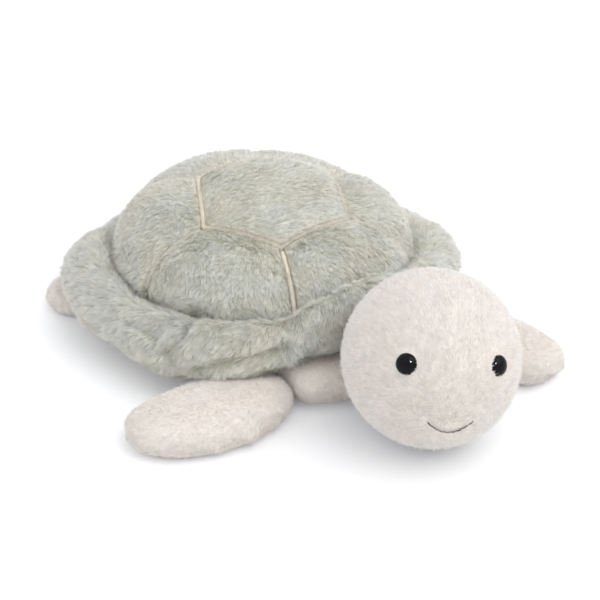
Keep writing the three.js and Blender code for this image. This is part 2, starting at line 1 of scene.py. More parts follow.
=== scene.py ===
"""Looks of the plush sea turtle, made in Blender 4.5 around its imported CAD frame.

Lengths are in metres. The origin is on the floor under the middle of the shell, +Z is up, the head
points towards -Y, and the turtle's own right side is at -X.
"""

from __future__ import annotations

import json
import logging
import math
from dataclasses import dataclass, field
from enum import Enum
from typing import Callable

import bpy
import numpy as np
from mathutils import Matrix, Vector
from mathutils.bvhtree import BVHTree
from mathutils.kdtree import KDTree

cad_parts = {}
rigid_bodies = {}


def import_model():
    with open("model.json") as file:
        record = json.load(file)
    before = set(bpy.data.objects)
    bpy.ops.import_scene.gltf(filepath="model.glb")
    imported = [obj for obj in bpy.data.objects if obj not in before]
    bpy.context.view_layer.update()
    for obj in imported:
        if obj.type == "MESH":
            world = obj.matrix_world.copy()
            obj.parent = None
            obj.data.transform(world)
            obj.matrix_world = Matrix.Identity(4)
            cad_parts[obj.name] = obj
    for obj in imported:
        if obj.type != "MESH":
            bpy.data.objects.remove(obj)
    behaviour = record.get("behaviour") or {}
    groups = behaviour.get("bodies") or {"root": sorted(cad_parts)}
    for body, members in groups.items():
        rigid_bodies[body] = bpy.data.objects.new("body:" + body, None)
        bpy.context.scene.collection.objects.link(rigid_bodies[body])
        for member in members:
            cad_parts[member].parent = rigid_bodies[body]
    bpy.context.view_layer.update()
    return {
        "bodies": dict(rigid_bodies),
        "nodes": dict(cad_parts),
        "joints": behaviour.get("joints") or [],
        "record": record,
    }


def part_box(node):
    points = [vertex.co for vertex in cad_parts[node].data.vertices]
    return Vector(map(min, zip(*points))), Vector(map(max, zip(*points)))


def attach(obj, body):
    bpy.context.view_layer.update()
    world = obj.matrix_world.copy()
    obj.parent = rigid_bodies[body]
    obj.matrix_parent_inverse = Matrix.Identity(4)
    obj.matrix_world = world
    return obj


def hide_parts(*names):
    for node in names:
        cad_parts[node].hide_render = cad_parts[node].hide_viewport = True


MM = 0.001
LOG = logging.getLogger("turtle")
Array = np.ndarray
Colour = tuple[float, float, float]
Place = tuple[float, float, float]
Pixel = tuple[float, float]
Field = Callable[[Array, Array], Array]
Piece = bpy.types.Object
Material = bpy.types.Material

BLACK = (0.0, 0.0, 0.0)
WHITE = (1.0, 1.0, 1.0)
# Blender's wave texture turns through 20 radians a metre at scale 1.
WAVE_RADIANS = 20
# Points of a CAD mesh closer than this are one point.
MERGE_GAP = 0.005 * MM
# Lengths below these count as none.
TINY = 1e-12
TINY_MOVE = 1e-9
# How far above the floor the lowest skins and fibres lie.
FLOOR_GAP = 0.2 * MM
# A skin whose normal is lower than this faces the floor.
FACES_FLOOR = -0.6
# Keeps the level part of a vector.
LEVEL = np.array([1.0, 1.0, 0.0])
# The dome bulges away from this point.
DOME_CORE = np.array([0.0, 0.0, 10 * MM])
# The slowest and the fastest wave of a drift, and how soon it reaches its full length.
DRIFT_RATES = (0.6, 1.6)
DRIFT_CALM = 0.7


class Value:
    """A node output that Python's operators work on, each by adding a Math node."""

    def __init__(self, dress: Dress, output: bpy.types.NodeSocket) -> None:
        """Wraps the output of a node of that dress."""
        self.dress = dress
        self.output = output

    def _math(self, operation: str, *terms: object) -> Value:
        """Adds a Math node on the terms and returns its result."""
        values = dict(enumerate(terms))
        return self.dress.node("ShaderNodeMath", {"operation": operation}, values)

    def __add__(self, other: object) -> Value:
        """self + other."""
        return self._math("ADD", self, other)

    def __radd__(self, other: object) -> Value:
        """other + self."""
        return self._math("ADD", other, self)

    def __sub__(self, other: object) -> Value:
        """self - other."""
        return self._math("SUBTRACT", self, other)

    def __rsub__(self, other: object) -> Value:
        """other - self."""
        return self._math("SUBTRACT", other, self)

    def __mul__(self, other: object) -> Value:
        """self * other."""
        return self._math("MULTIPLY", self, other)

    def __rmul__(self, other: object) -> Value:
        """other * self."""
        return self._math("MULTIPLY", other, self)

    def __pow__(self, other: object) -> Value:
        """self to the power other."""
        return self._math("POWER", self, other)

    def __rpow__(self, other: object) -> Value:
        """other to the power self."""
        return self._math("POWER", other, self)


class Dress:
    """The nodes of a material or of the world, and the calls that add nodes before its shader."""

    def __init__(self, owner: Material | bpy.types.World, shader: str = "Principled BSDF") -> None:
        """Takes over the nodes of a new material or world.

        Args:
            owner: The material or the world.
            shader: The name of its shader node.
        """
        owner.use_nodes = True
        self.owner = owner
        self.tree = owner.node_tree
        self.shader = self.tree.nodes[shader]

    def node(self, kind: str, settings: dict, values: dict, output: object = 0) -> Value:
        """Adds a node.

        Args:
            kind: The node's type.
            settings: Its own settings, which are set first.
            values: Numbers, colours or Values for its inputs, by name or number.
            output: The name or number of the output that is wanted.

        Returns:
            That output.
        """
        made = self.tree.nodes.new(kind)
        for name, setting in settings.items():
            setattr(made, name, setting)
        for name, value in values.items():
            self.feed(made, name, value)
        return Value(self, made.outputs[output])

    def feed(self, made: bpy.types.Node, name: object, value: object) -> None:
        """Links a Value into a node's input, or sets the input's own value.

        Args:
            made: The node.
            name: The name or number of its input.
            value: The Value, number or colour.
        """
        if isinstance(value, Value):
            self.tree.links.new(value.output, made.inputs[name])
        else:
            made.inputs[name].default_value = value

    def set(self, **values: object) -> None:
        """Feeds the shader's own inputs, with _ for a space in their names."""
        for name, value in values.items():
            self.feed(self.shader, name.replace("_", " "), value)

    def place(self) -> Value:
        """The point's place on the object."""
        return self.node("ShaderNodeTexCoord", {}, {}, "Object")

    def attribute(self, name: str) -> Value:
        """A number that the mesh carries under that name."""
        return self.node("ShaderNodeAttribute", {"attribute_name": name}, {}, "Fac")

    def ray(self, kind: str) -> Value:
        """1 for a ray of that kind, 0 for any other."""
        return self.node("ShaderNodeLightPath", {}, {}, kind)

    def noise(self, size: float, detail: float = 2.0) -> Value:
        """Noise from 0 to 1 whose patches are about that size in metres."""
        values = {"Vector": self.place(), "Scale": 1 / size, "Detail": detail}
        return self.node("ShaderNodeTexNoise", {}, values, "Fac")

    def spread(self, value: Value, low: float, high: float) -> Value:
        """The value moved so that low is 0 and high is 1, and held between them."""
        values = {"Value": value, "From Min": low, "From Max": high}
        return self.node("ShaderNodeMapRange", {}, values)

    def between(self, share: Value, first: object, second: object) -> Value:
        """The first colour at share 0, the second at share 1."""
        pair = {0: share, 6: opaque(first), 7: opaque(second)}
        return self.node("ShaderNodeMix", {"data_type": "RGBA"}, pair, 2)

    def scaled(self, colour: Value, factor: Value) -> Value:
        """A colour times a number."""
        values = {0: colour, "Scale": factor}
        return self.node("ShaderNodeVectorMath", {"operation": "SCALE"}, values)

    def bump(self, height: Value, depth: float) -> None:
        """Bumps the shader's normal by that height times depth metres."""
        values = {"Height": height, "Distance": depth, "Strength": 1.0}
        self.set(Normal=self.node("ShaderNodeBump", {}, values))


def opaque(colour: object) -> object:
    """A plain colour with its fourth number, or a Value as it is."""
    return colour if isinstance(colour, Value) else (*colour, 1.0)


@dataclass(frozen=True)
class PlushFinish:
    """Plush: its pile is darker at the root, partly its own tone and partly painted shade deep in
    the pile, and its tufts and patches differ in tone.
    """

    name: str
    root: Colour
    cool: Colour
    warm: Colour
    edge: Colour
    edge_root: Colour
    patch: float
    tuft_contrast: float
    roughness: float
    sheen: float
    patch_detail: float = 3.0
    patch_range: tuple[float, float] = (0.35, 0.65)
    root_fade: float = 0.6
    gloss_spread: float = 0.08
    sheen_roughness: float = 0.5
    specular: float = 0.15

    def build(self) -> Material:
        """Makes the material.

        Returns:
            The material.
        """
        dress = Dress(bpy.data.materials.new(self.name))
        patches = dress.spread(dress.noise(self.patch, self.patch_detail), *self.patch_range)
        tone = dress.between(patches, self.cool, self.warm)
        edge = dress.attribute("edge")
        tone = dress.between(edge, tone, self.edge)
        root = dress.between(edge, self.root, self.edge_root)
        # Darker towards the root: partly the fibres' own tone, partly painted shade where the pile
        # shades itself.
        pile = dress.between(dress.attribute("along") ** self.root_fade, root, tone)
        shade = dress.attribute("tuft") * self.tuft_contrast + (1 - self.tuft_contrast / 2)
        dress.set(Base_Color=dress.scaled(pile, shade))
        gloss = dress.noise(self.patch / 4) * self.gloss_spread
        dress.set(Roughness=gloss + (self.roughness - self.gloss_spread / 2))
        dress.set(Sheen_Weight=self.sheen, Sheen_Roughness=self.sheen_roughness)
        dress.set(Specular_IOR_Level=self.specular)
        return dress.owner


@dataclass(frozen=True)
class PlasticFinish:
    """Moulded plastic, polished or matt, with faint wear in its gloss."""

    name: str
    colour: Colour
    worn: Colour
    roughness: float
    specular: float
    coat: float
    grain: float
    wear_size: float = 3 * MM
    wear_detail: float = 4.0
    wear_spread: float = 0.6
    wear_least: float = 0.7
    coat_roughness: float = 0.03
    grain_size: float = 0.6 * MM

    def build(self) -> Material:
        """Makes the material.

        Returns:
            The material.
        """
        dress = Dress(bpy.data.materials.new(self.name))
        wear = dress.noise(self.wear_size, self.wear_detail)
        dress.set(Base_Color=dress.between(wear, self.colour, self.worn))
        least = self.roughness * self.wear_least
        dress.set(Roughness=wear * self.roughness * self.wear_spread + least)
        dress.set(Coat_Weight=self.coat, Coat_Roughness=self.coat_roughness)
        dress.set(Specular_IOR_Level=self.specular)
        dress.bump(dress.noise(self.grain_size), self.grain)
        return dress.owner


@dataclass(frozen=True)
class ThreadFinish:
    """Embroidery thread of twisted strands, painted darker in the grooves of the twist as painted
    shade.
    """

    name: str
    pale: Colour
    groove_shade: Colour
    pitch: float
    fray: float = 0.5
    roughness: float = 0.7
    gloss_spread: float = 0.1
    specular: float = 0.2
    depth: float = 0.1 * MM

    def build(self) -> Material:
        """Makes the material.

        Returns:
            The material.
        """
        dress = Dress(bpy.data.materials.new(self.name))
        settings = {"wave_type": "BANDS", "bands_direction": "DIAGONAL"}
        scale = 1 / (self.pitch * WAVE_RADIANS)
        values = {"Vector": dress.place(), "Scale": scale, "Distortion": self.fray}
        twist = dress.node("ShaderNodeTexWave", settings, values, "Fac")
        # Painted shade: the low bands of the twist, which the bump sinks, take the darker colour.
        dress.set(Base_Color=dress.between(twist, self.groove_shade, self.pale))
        dress.set(Roughness=twist * self.gloss_spread + self.roughness)
        dress.set(Specular_IOR_Level=self.specular)
        dress.bump(twist, self.depth)
        return dress.owner


# Each root colour below holds painted shade deep in the pile as well as the fibres' own darker
# roots.
SAGE = PlushFinish(
    name="sage_plush_pile",
    root=(0.47, 0.47, 0.37),
    cool=(0.88, 0.9, 0.88),
    warm=(0.92, 0.89, 0.81),
    edge=(0.93, 0.89, 0.8),
    edge_root=(0.8, 0.75, 0.64),
    patch=26 * MM,
    tuft_contrast=0.36,
    roughness=0.9,
    sheen=0.15,
)
CREAM = PlushFinish(
    name="cream_plush_pile",
    root=(0.87, 0.81, 0.75),
    cool=(0.98, 0.96, 0.94),
    warm=(0.98, 0.935, 0.895),
    edge=(0.96, 0.91, 0.865),
    edge_root=(0.89, 0.83, 0.77),
    patch=18 * MM,
    tuft_contrast=0.24,
    roughness=0.92,
    sheen=0.15,
)
PIPING = PlushFinish(
    name="cream_piping_nap",
    root=(0.88, 0.8, 0.69),
    cool=(0.93, 0.88, 0.8),
    warm=(0.92, 0.85, 0.74),
    edge=(0.9, 0.89, 0.84),
    edge_root=(0.62, 0.6, 0.5),
    patch=9 * MM,
    tuft_contrast=0.16,
    roughness=0.88,
    sheen=0.1,
)
EYE = PlasticFinish(
    name="black_eye_plastic",
    colour=(0.003, 0.003, 0.004),
    worn=(0.006, 0.006, 0.008),
    roughness=0.08,
    specular=0.1,
    coat=0.1,
    grain=0.002 * MM,
)
WASHER = PlasticFinish(
    name="white_washer_plastic",
    colour=(0.7, 0.71, 0.68),
    worn=(0.62, 0.62, 0.59),
    roughness=0.5,
    specular=0.35,
    coat=0.0,
    grain=0.03 * MM,
)
# The thread's darker colour is painted shade in the grooves of its twist.
THREAD = ThreadFinish(
    name="grey_brown_thread",
    pale=(0.26, 0.22, 0.2),
    groove_shade=(0.1, 0.085, 0.075),
    pitch=0.6 * MM,
)


class Bench:
    """Modelling steps on Blender's own operators."""

    @staticmethod
    def clear() -> None:
        """Leaves nothing selected."""
        for other in bpy.context.view_layer.objects:
            other.select_set(False)

    @staticmethod
    def pick(piece: Piece) -> None:
        """Makes a piece the only one selected, and the active one.

        Args:
            piece: The piece.
        """
        Bench.clear()
        piece.hide_viewport = False
        piece.select_set(True)
        bpy.context.view_layer.objects.active = piece

    @staticmethod
    def copy_node(node: Piece, name: str) -> Piece:
        """Copies a CAD node's mesh and merges its loose triangles.

        Args:
            node: The CAD node.
            name: The new piece's name.

        Returns:
            The new piece.
        """
        piece = bpy.data.objects.new(name, node.data.copy())
        piece.data.materials.clear()
        for attribute in ("custom_normal", "sharp_face", "sharp_edge"):
            if attribute in piece.data.attributes:
                piece.data.attributes.remove(piece.data.attributes[attribute])
        bpy.context.scene.collection.objects.link(piece)
        Bench.pick(piece)
        bpy.ops.object.mode_set(mode="EDIT")
        bpy.ops.mesh.select_all(action="SELECT")
        bpy.ops.mesh.remove_doubles(threshold=MERGE_GAP)
        bpy.ops.mesh.normals_make_consistent(inside=False)
        bpy.ops.object.mode_set(mode="OBJECT")
        return piece

    @staticmethod
    def modify(piece: Piece, kind: str, **settings: object) -> None:
        """Adds a modifier and applies it.

        Args:
            piece: The piece.
            kind: The modifier's type.
            **settings: Its settings.
        """
        Bench.pick(piece)
        modifier = piece.modifiers.new(kind.lower(), kind)
        for name, setting in settings.items():
            setattr(modifier, name, setting)
        bpy.ops.object.modifier_apply(modifier=modifier.name)

    @staticmethod
    def remesh(piece: Piece, voxel: float) -> None:
        """Remakes the piece's skin from even squares of about that size."""
        Bench.modify(piece, "REMESH", mode="VOXEL", voxel_size=voxel)

    @staticmethod
    def inflate(piece: Piece, distance: float) -> None:
        """Moves the skin outwards."""
        Bench.modify(piece, "DISPLACE", strength=distance, mid_level=0.0)

    @staticmethod
    def soften(piece: Piece, times: int) -> None:
        """Smooths the skin."""
        Bench.modify(piece, "SMOOTH", factor=0.5, iterations=times)

    @staticmethod
    def stuff(piece: Piece, pressure: float, cap: float, frames: int = 20) -> None:
        """Fills the piece by cloth simulation, and halves its squares.

        Args:
            piece: The piece, whose skin is of even squares.
            pressure: The push of the stuffing.
            cap: How far a point may move.
            frames: How long the simulation runs.
        """
        start = Bench.points(piece)
        Bench.pick(piece)
        cloth = piece.modifiers.new("cloth", "CLOTH")
        cloth.settings.use_pressure = True
        cloth.settings.uniform_pressure_force = pressure
        cloth.settings.effector_weights.gravity = 0.0
        cloth.point_cache.frame_start = 1
        cloth.point_cache.frame_end = frames
        for frame in range(1, frames + 1):
            bpy.context.scene.frame_set(frame)
        bpy.ops.object.modifier_apply(modifier=cloth.name)
        bpy.context.scene.frame_set(1)
        moved = Bench.points(piece) - start
        length = np.linalg.norm(moved, axis=1, keepdims=True)
        LOG.info("%s: stuffing moved it by %.2f mm", piece.name, length.mean() / MM)
        held = cap * np.tanh(length / cap) / np.maximum(length, TINY_MOVE)
        Bench.shape(piece, start + moved * held)
        Bench.modify(piece, "SUBSURF", levels=1, render_levels=1)

    @staticmethod
    def read(piece: Piece, name: str) -> Array:
        """Reads three numbers of each of the piece's vertices.

        Args:
            piece: The piece.
            name: What is read, such as co for their places.

        Returns:
            One row a vertex.
        """
        flat = np.zeros(len(piece.data.vertices) * 3)
        piece.data.vertices.foreach_get(name, flat)
        return flat.reshape(-1, 3)

    @staticmethod
    def points(piece: Piece) -> Array:
        """The places of the piece's vertices, one row each."""
        return Bench.read(piece, "co")

    @staticmethod
    def normals(piece: Piece) -> Array:
        """The normals at the piece's vertices, one row each."""
        return Bench.read(piece, "normal")

    @staticmethod
    def shape(piece: Piece, points: Array) -> None:
        """Moves the piece's vertices to those places."""
        piece.data.vertices.foreach_set("co", points.ravel())
        piece.data.update()

    @staticmethod
    def tree(*pieces: Piece) -> BVHTree:
        """Joins the surfaces of some pieces, for finding points on them.

        Args:
            *pieces: The pieces.

        Returns:
            Their surface.
        """
        points, faces = [], []
        for piece in pieces:
            first = len(points)
            points += Bench.points(piece).tolist()
            faces += [[first + corner for corner in face.vertices] for face in piece.data.polygons]
        return BVHTree.FromPolygons(points, faces)


def unit(vectors: Array) -> Array:
    """The vectors, one row each, at length 1."""
    return vectors / np.maximum(np.linalg.norm(vectors, axis=-1, keepdims=True), TINY)


def from_middle(points: Array) -> Array:
    """The level way from the middle of the shell to each point."""
    return unit(points * LEVEL)


def from_core(points: Array) -> Array:
    """The way out of the dome at each point."""
    return unit(points - DOME_CORE)


def from_place(points: Array, place: Array) -> Array:
    """How far the points lie from a place."""
    return np.linalg.norm(points - place, axis=1)


def from_line(points: Array, line: Array) -> Array:
    """Measures how far the points lie from a line of straight stretches.

    Args:
        points: The places, one row each.
        line: The ends of the stretches in order, two or more.

    Returns:
        One distance a point.
    """
    away = np.full(len(points), np.inf)
    for start, end in zip(line[:-1], line[1:]):
        span = end - start
        share = np.clip((points - start) @ span / (span @ span), 0, 1)
        away = np.minimum(away, from_place(points, start + share[:, None] * span))
    return away


def from_surface(points: Array, surface: BVHTree) -> Array:
    """How far the points lie from a surface."""
    return np.array([surface.find_nearest(point)[3] for point in points])


def near(away: Array, reach: float) -> Array:
    """A share of 1 at no distance, which fades softly over the reach."""
    return np.exp(-((away / reach) ** 2))


def below(height: Array, reach: float) -> Array:
    """A share of 1 at or below no height, and 0 above the reach."""
    return np.clip(1 - height / reach, 0, 1)


def keep_off_floor(points: Array) -> None:
    """Lifts the points that are too low to just above the floor."""
    points[:, 2] = np.maximum(points[:, 2], FLOOR_GAP)


def towards(azimuth: float, elevation: float) -> Vector:
    """The way that is turned from -Y towards +X and raised by those degrees.

    Args:
        azimuth: How far it is turned.
        elevation: How far it is raised.

    Returns:
        The way, at length 1.
    """
    turn, rise = math.radians(azimuth), math.radians(elevation)
    level = math.cos(rise)
    return Vector((math.sin(turn) * level, -math.cos(turn) * level, math.sin(rise)))


def drift(points: Array, size: float, seed: int, waves: int = 8) -> Array:
    """Smooth random vectors over the points, the same each run.

    Args:
        points: The places, one row each.
        size: About how far apart the vectors change.
        seed: Which field it is.
        waves: How many waves it is made of.

    Returns:
        One vector a point, shorter than 1.
    """
    random = np.random.default_rng(seed)
    total = np.zeros_like(points)
    for _ in range(waves):
        way = random.normal(size=3)
        way *= random.uniform(*DRIFT_RATES) * 2 * math.pi / size / np.linalg.norm(way)
        phase = random.uniform(0, 2 * math.pi)
        total += np.sin(points @ way + phase)[:, None] * random.normal(size=3)
    total /= math.sqrt(waves)
    return total / (DRIFT_CALM + np.linalg.norm(total, axis=1, keepdims=True))


def everywhere(points: Array, normals: Array) -> Array:
    """A share of 1 at each point."""
    return np.ones(len(points))


def nowhere(points: Array, normals: Array) -> Array:
    """A share of 0 at each point."""
    return np.zeros(len(points))


@dataclass(frozen=True)
class Nap:
    """How the pile lies on one piece.

    The comb says which way it is brushed, the cover and the cut are the shares of its full density
    and length, and the edge is the share of the finish's edge colour.
    """

    comb: Field
    cover: Field = everywhere
    cut: Field = everywhere
    edge: Field = nowhere


@dataclass
class Skin:
    """A finished skin as arrays: its points, their normals and its triangles."""

    points: Array
    normals: Array
    faces: Array

    @classmethod
    def of(cls, piece: Piece) -> Skin:
        """Reads a piece's skin.

        Args:
            piece: The piece.

        Returns:
            Its skin.
        """
        mesh = piece.data
        mesh.calc_loop_triangles()
        flat = np.zeros(len(mesh.loop_triangles) * 3, np.int32)
        mesh.loop_triangles.foreach_get("vertices", flat)
        return cls(Bench.points(piece), Bench.normals(piece), flat.reshape(-1, 3))


@dataclass
class Fibres:
    """Fibres as arrays: roots, the skin's normals there, tips, and each one's share of tone."""

    roots: Array
    normals: Array
    tips: Array
    tones: Array


# A fibre has four corners: the two sides of its root, the ridge of its root, and its tip.
SPIKE_SIDES = ([2, 0, 3], [1, 2, 3], [0, 1, 3])
SPIKE_ALONG = (0.0, 0.0, 0.0, 1.0)
# Where a face of the skin and a fibre lie in their cells of the map for baking.
SKIN_CELL = np.array([[0.12, 0.12], [0.88, 0.12], [0.12, 0.88]])
SPIKE_CELL = np.array([[0.12, 0.12], [0.88, 0.12], [0.5, 0.12], [0.5, 0.88]])
# Gives a fibre a side way also where it stands straight up from the skin.
NUDGE = np.array([0.013, 0.007, 0.011])


@dataclass(frozen=True)
class Pile:
    """How a plush's pile is cut, how far it leans and how its fibres gather into tufts."""

    length: float
    width: float
    per_mm2: float
    lean: float
    stray: float
    facing: float
    tuft_spacing: float
    tuft_pull: float
    wander: float
    wander_size: float
    loose: float
    seed: int
    loose_lean: float = 0.45
    uneven: tuple[float, float] = (0.75, 1.1)
    tuft_tone: float = 0.6
    fibre_tone: float = 0.4
    ridge: float = 0.45
    splay: float = 0.6

    def grow(self, piece: Piece, nap: Nap) -> int:
        """Grows the pile on a piece and joins it to the piece's mesh.

        Args:
            piece: The piece, whose skin is final.
            nap: How the pile lies on it.

        Returns:
            The number of fibres.
        """
        skin = Skin.of(piece)
        random = np.random.default_rng(self.seed)
        roots, normals = self._scatter(skin, nap, random)
        fibres = self._lay(roots, normals, nap, random)
        self._join(piece, skin, fibres, nap)
        return len(roots)

    def _scatter(
        self, skin: Skin, nap: Nap, random: np.random.Generator
    ) -> tuple[Array, Array]:
        """Scatters the roots evenly over the skin, thinned by the cover.

        Args:
            skin: The skin.
            nap: How the pile lies on it.
            random: The source of chance.

        Returns:
            The roots and the skin's normals there.
        """
        corners = skin.points[skin.faces]
        across = np.cross(corners[:, 1] - corners[:, 0], corners[:, 2] - corners[:, 0])
        areas = np.linalg.norm(across, axis=1) / 2
        weights = areas * np.clip(nap.cover(corners.mean(1), unit(across)), 0, 1)
        count = int(weights.sum() / MM**2 * self.per_mm2)
        steps = (np.arange(count) + random.random(count)) / count
        picked = np.searchsorted(np.cumsum(weights) / weights.sum(), steps)
        picked = skin.faces[picked.clip(max=len(weights) - 1)]
        first, second = random.random((2, count))
        fold = first + second > 1
        first[fold] = 1 - first[fold]
        second[fold] = 1 - second[fold]
        shares = np.stack([1 - first - second, first, second], 1)[:, :, None]
        roots = (skin.points[picked] * shares).sum(1)
        return roots, unit((skin.normals[picked] * shares).sum(1))

    def _lay(
        self, roots: Array, normals: Array, nap: Nap, random: np.random.Generator
    ) -> Fibres:
        """Combs the fibres and gathers them into tufts.

        Args:
            roots: The roots.
            normals: The skin's normals there.
            nap: How the pile lies.
            random: The source of chance.

        Returns:
            The fibres, whose tips stay above the floor.
        """
        brushed = nap.comb(roots, normals) + self.wander * drift(roots, self.wander_size, self.seed)
        flat = unit(brushed - (brushed * normals).sum(1, keepdims=True) * normals)
        stray = random.normal(size=roots.shape) * self.stray
        loose = random.random((len(roots), 1)) < self.loose
        lean = np.where(loose, self.lean * self.loose_lean, self.lean)
        way = unit(normals * (1 - lean) + flat * lean + stray * (1 + loose))
        length = self.length * random.uniform(*self.uneven, len(roots)) * nap.cut(roots, normals)
        tips = roots + way * length[:, None]
        leaders, nearest = self._tufts(roots, random)
        pull = near(np.linalg.norm(roots - roots[nearest], axis=1), 2 * self.tuft_spacing)
        tips += (tips[nearest] - tips) * (self.tuft_pull * pull)[:, None]
        keep_off_floor(tips)
        tones = self.tuft_tone * random.random(len(roots))[nearest]
        return Fibres(roots, normals, tips, tones + self.fibre_tone * random.random(len(roots)))

    def _tufts(self, roots: Array, random: np.random.Generator) -> tuple[Array, Array]:
        """Picks a leading fibre for each tuft, and each fibre's nearest leader.

        Args:
            roots: The roots.
            random: The source of chance.

        Returns:
            The leaders' numbers, and the number of each fibre's leader.
        """
        count = max(1, int(len(roots) / self.per_mm2 * MM**2 / self.tuft_spacing**2))
        leaders = random.choice(len(roots), count, replace=False)
        tree = KDTree(count)
        for place, leader in enumerate(leaders):
            tree.insert(roots[leader], place)
        tree.balance()
        return leaders, leaders[np.array([tree.find(root)[1] for root in roots])]

    def _spikes(self, fibres: Fibres) -> tuple[Array, Array]:
        """Makes each fibre a flat closed spike with its ridge outwards.

        Args:
            fibres: The fibres.

        Returns:
            The four corners of each, and the normals at the corners of its three sides.
        """
        axis = unit(fibres.tips - fibres.roots)
        side = unit(np.cross(axis, fibres.normals + NUDGE))
        ridge = np.cross(side, axis)
        wide = side * self.width / 2
        base = fibres.roots - fibres.normals * self.width / 2
        ridge_end = base + ridge * self.width * self.ridge
        spikes = np.stack([base + wide, base - wide, ridge_end, fibres.tips], 1)
        round_way = fibres.normals * (1 - self.facing) + ridge * self.facing
        top = unit(round_way)
        left, right = unit(round_way + self.splay * side), unit(round_way - self.splay * side)
        under = unit(np.cross(spikes[:, 1] - spikes[:, 0], spikes[:, 3] - spikes[:, 0]))
        return spikes, np.stack([top, left, top, right, top, top, under, under, under], 1)

    def _join(self, piece: Piece, skin: Skin, fibres: Fibres, nap: Nap) -> None:
        """Joins the fibres to the piece's skin in one mesh.

        Args:
            piece: The piece.
            skin: Its skin.
            fibres: The fibres.
            nap: How they lie.
        """
        count = len(fibres.roots)
        spikes, spike_normals = self._spikes(fibres)
        first = len(skin.points) + 4 * np.arange(count)[:, None]
        sides = np.concatenate([first + corners for corners in SPIKE_SIDES], 1)
        points = np.concatenate([skin.points, spikes.reshape(-1, 3)])
        faces = np.concatenate([skin.faces, sides.reshape(-1, 3)])
        mesh = self._mesh(piece, points, faces)
        plain = np.ones(len(skin.points))
        root_edge = nap.edge(fibres.roots, fibres.normals)
        # Along runs from 0 at the root to 1 at the tip; the finishes darken the pile towards 0,
        # partly as painted shade.
        shares = {
            "along": (plain * 0, np.tile(SPIKE_ALONG, count)),
            "tuft": (plain * 0.5, np.repeat(fibres.tones, 4)),
            "edge": (nap.edge(skin.points, skin.normals), np.repeat(root_edge, 4)),
        }
        for name, numbers in shares.items():
            attribute = mesh.attributes.new(name, "FLOAT", "POINT")
            attribute.data.foreach_set("value", np.concatenate(numbers).astype(np.float32))
        self._map(mesh, len(skin.faces), count)
        mesh.shade_smooth()
        corner_normals = [skin.normals[skin.faces].reshape(-1, 3), spike_normals.reshape(-1, 3)]
        mesh.normals_split_custom_set(np.concatenate(corner_normals).tolist())
        piece.data = mesh

    @staticmethod
    def _mesh(piece: Piece, points: Array, faces: Array) -> bpy.types.Mesh:
        """Makes a mesh of triangles with a piece's name and materials.

        Args:
            piece: The piece.
            points: The places of its vertices.
            faces: Three vertices a triangle.

        Returns:
            The mesh.
        """
        mesh = bpy.data.meshes.new(piece.name)
        for material in piece.data.materials:
            mesh.materials.append(material)
        mesh.vertices.add(len(points))
        mesh.vertices.foreach_set("co", points.ravel())
        mesh.loops.add(faces.size)
        mesh.loops.foreach_set("vertex_index", faces.ravel().astype(np.int32))
        mesh.polygons.add(len(faces))
        mesh.polygons.foreach_set("loop_start", np.arange(0, faces.size, 3, dtype=np.int32))
        mesh.update(calc_edges=True)
        return mesh

    @staticmethod
    def _map(mesh: bpy.types.Mesh, skin_faces: int, spikes: int) -> None:
        """Lays the skin's faces and the fibres out in a grid of small cells, for baking.

        Args:
            mesh: The mesh.
            skin_faces: How many faces the skin has, which come first.
            spikes: How many fibres follow.
        """
        cells = skin_faces + spikes
        columns = math.ceil(math.sqrt(cells))
        number = np.arange(cells)
        corner = np.stack([number % columns, number // columns], 1)[:, None, :]
        skin = corner[:skin_faces] + SKIN_CELL
        spike = corner[skin_faces:, :, None] + SPIKE_CELL[list(SPIKE_SIDES)][None]
        places = np.concatenate([skin.reshape(-1, 2), spike.reshape(-1, 2)]) / columns
        layer = mesh.uv_layers.new(name="OFBake")
        layer.data.foreach_set("uv", places.ravel().astype(np.float32))


DOME_PILE = Pile(
    length=4.0 * MM,
    width=0.44 * MM,
    per_mm2=3.4,
    lean=0.74,
    stray=0.22,
    facing=0.3,
    tuft_spacing=2.2 * MM,
    tuft_pull=0.5,
    wander=0.8,
    wander_size=26 * MM,
    loose=0.06,
    seed=11,
)
RIM_PILE = Pile(
    length=5.8 * MM,
    width=0.42 * MM,
    per_mm2=3.6,
    lean=0.78,
    stray=0.18,
    facing=0.3,
    tuft_spacing=2.9 * MM,
    tuft_pull=0.4,
    wander=0.6,
    wander_size=28 * MM,
    loose=0.05,
    seed=21,
)
CREAM_PILE = Pile(
    length=2.7 * MM,
    width=0.36 * MM,
    per_mm2=4.0,
    lean=0.77,
    stray=0.24,
    facing=0.25,
    tuft_spacing=1.3 * MM,
    tuft_pull=0.2,
    wander=0.8,
    wander_size=18 * MM,
    loose=0.12,
    seed=12,
)
HEAD_PILE = Pile(
    length=3.5 * MM,
    width=0.45 * MM,
    per_mm2=3.3,
    lean=0.76,
    stray=0.24,
    facing=0.25,
    tuft_spacing=1.5 * MM,
    tuft_pull=0.3,
    wander=0.6,
    wander_size=16 * MM,
    loose=0.15,
    seed=41,
)
PIPING_PILE = Pile(
    length=3.2 * MM,
    width=0.34 * MM,
    per_mm2=7.0,
    lean=0.6,
    stray=0.35,
    facing=0.2,
    tuft_spacing=1.8 * MM,
    tuft_pull=0.3,
    wander=0.9,
    wander_size=9 * MM,
    loose=0.15,
    seed=31,
)


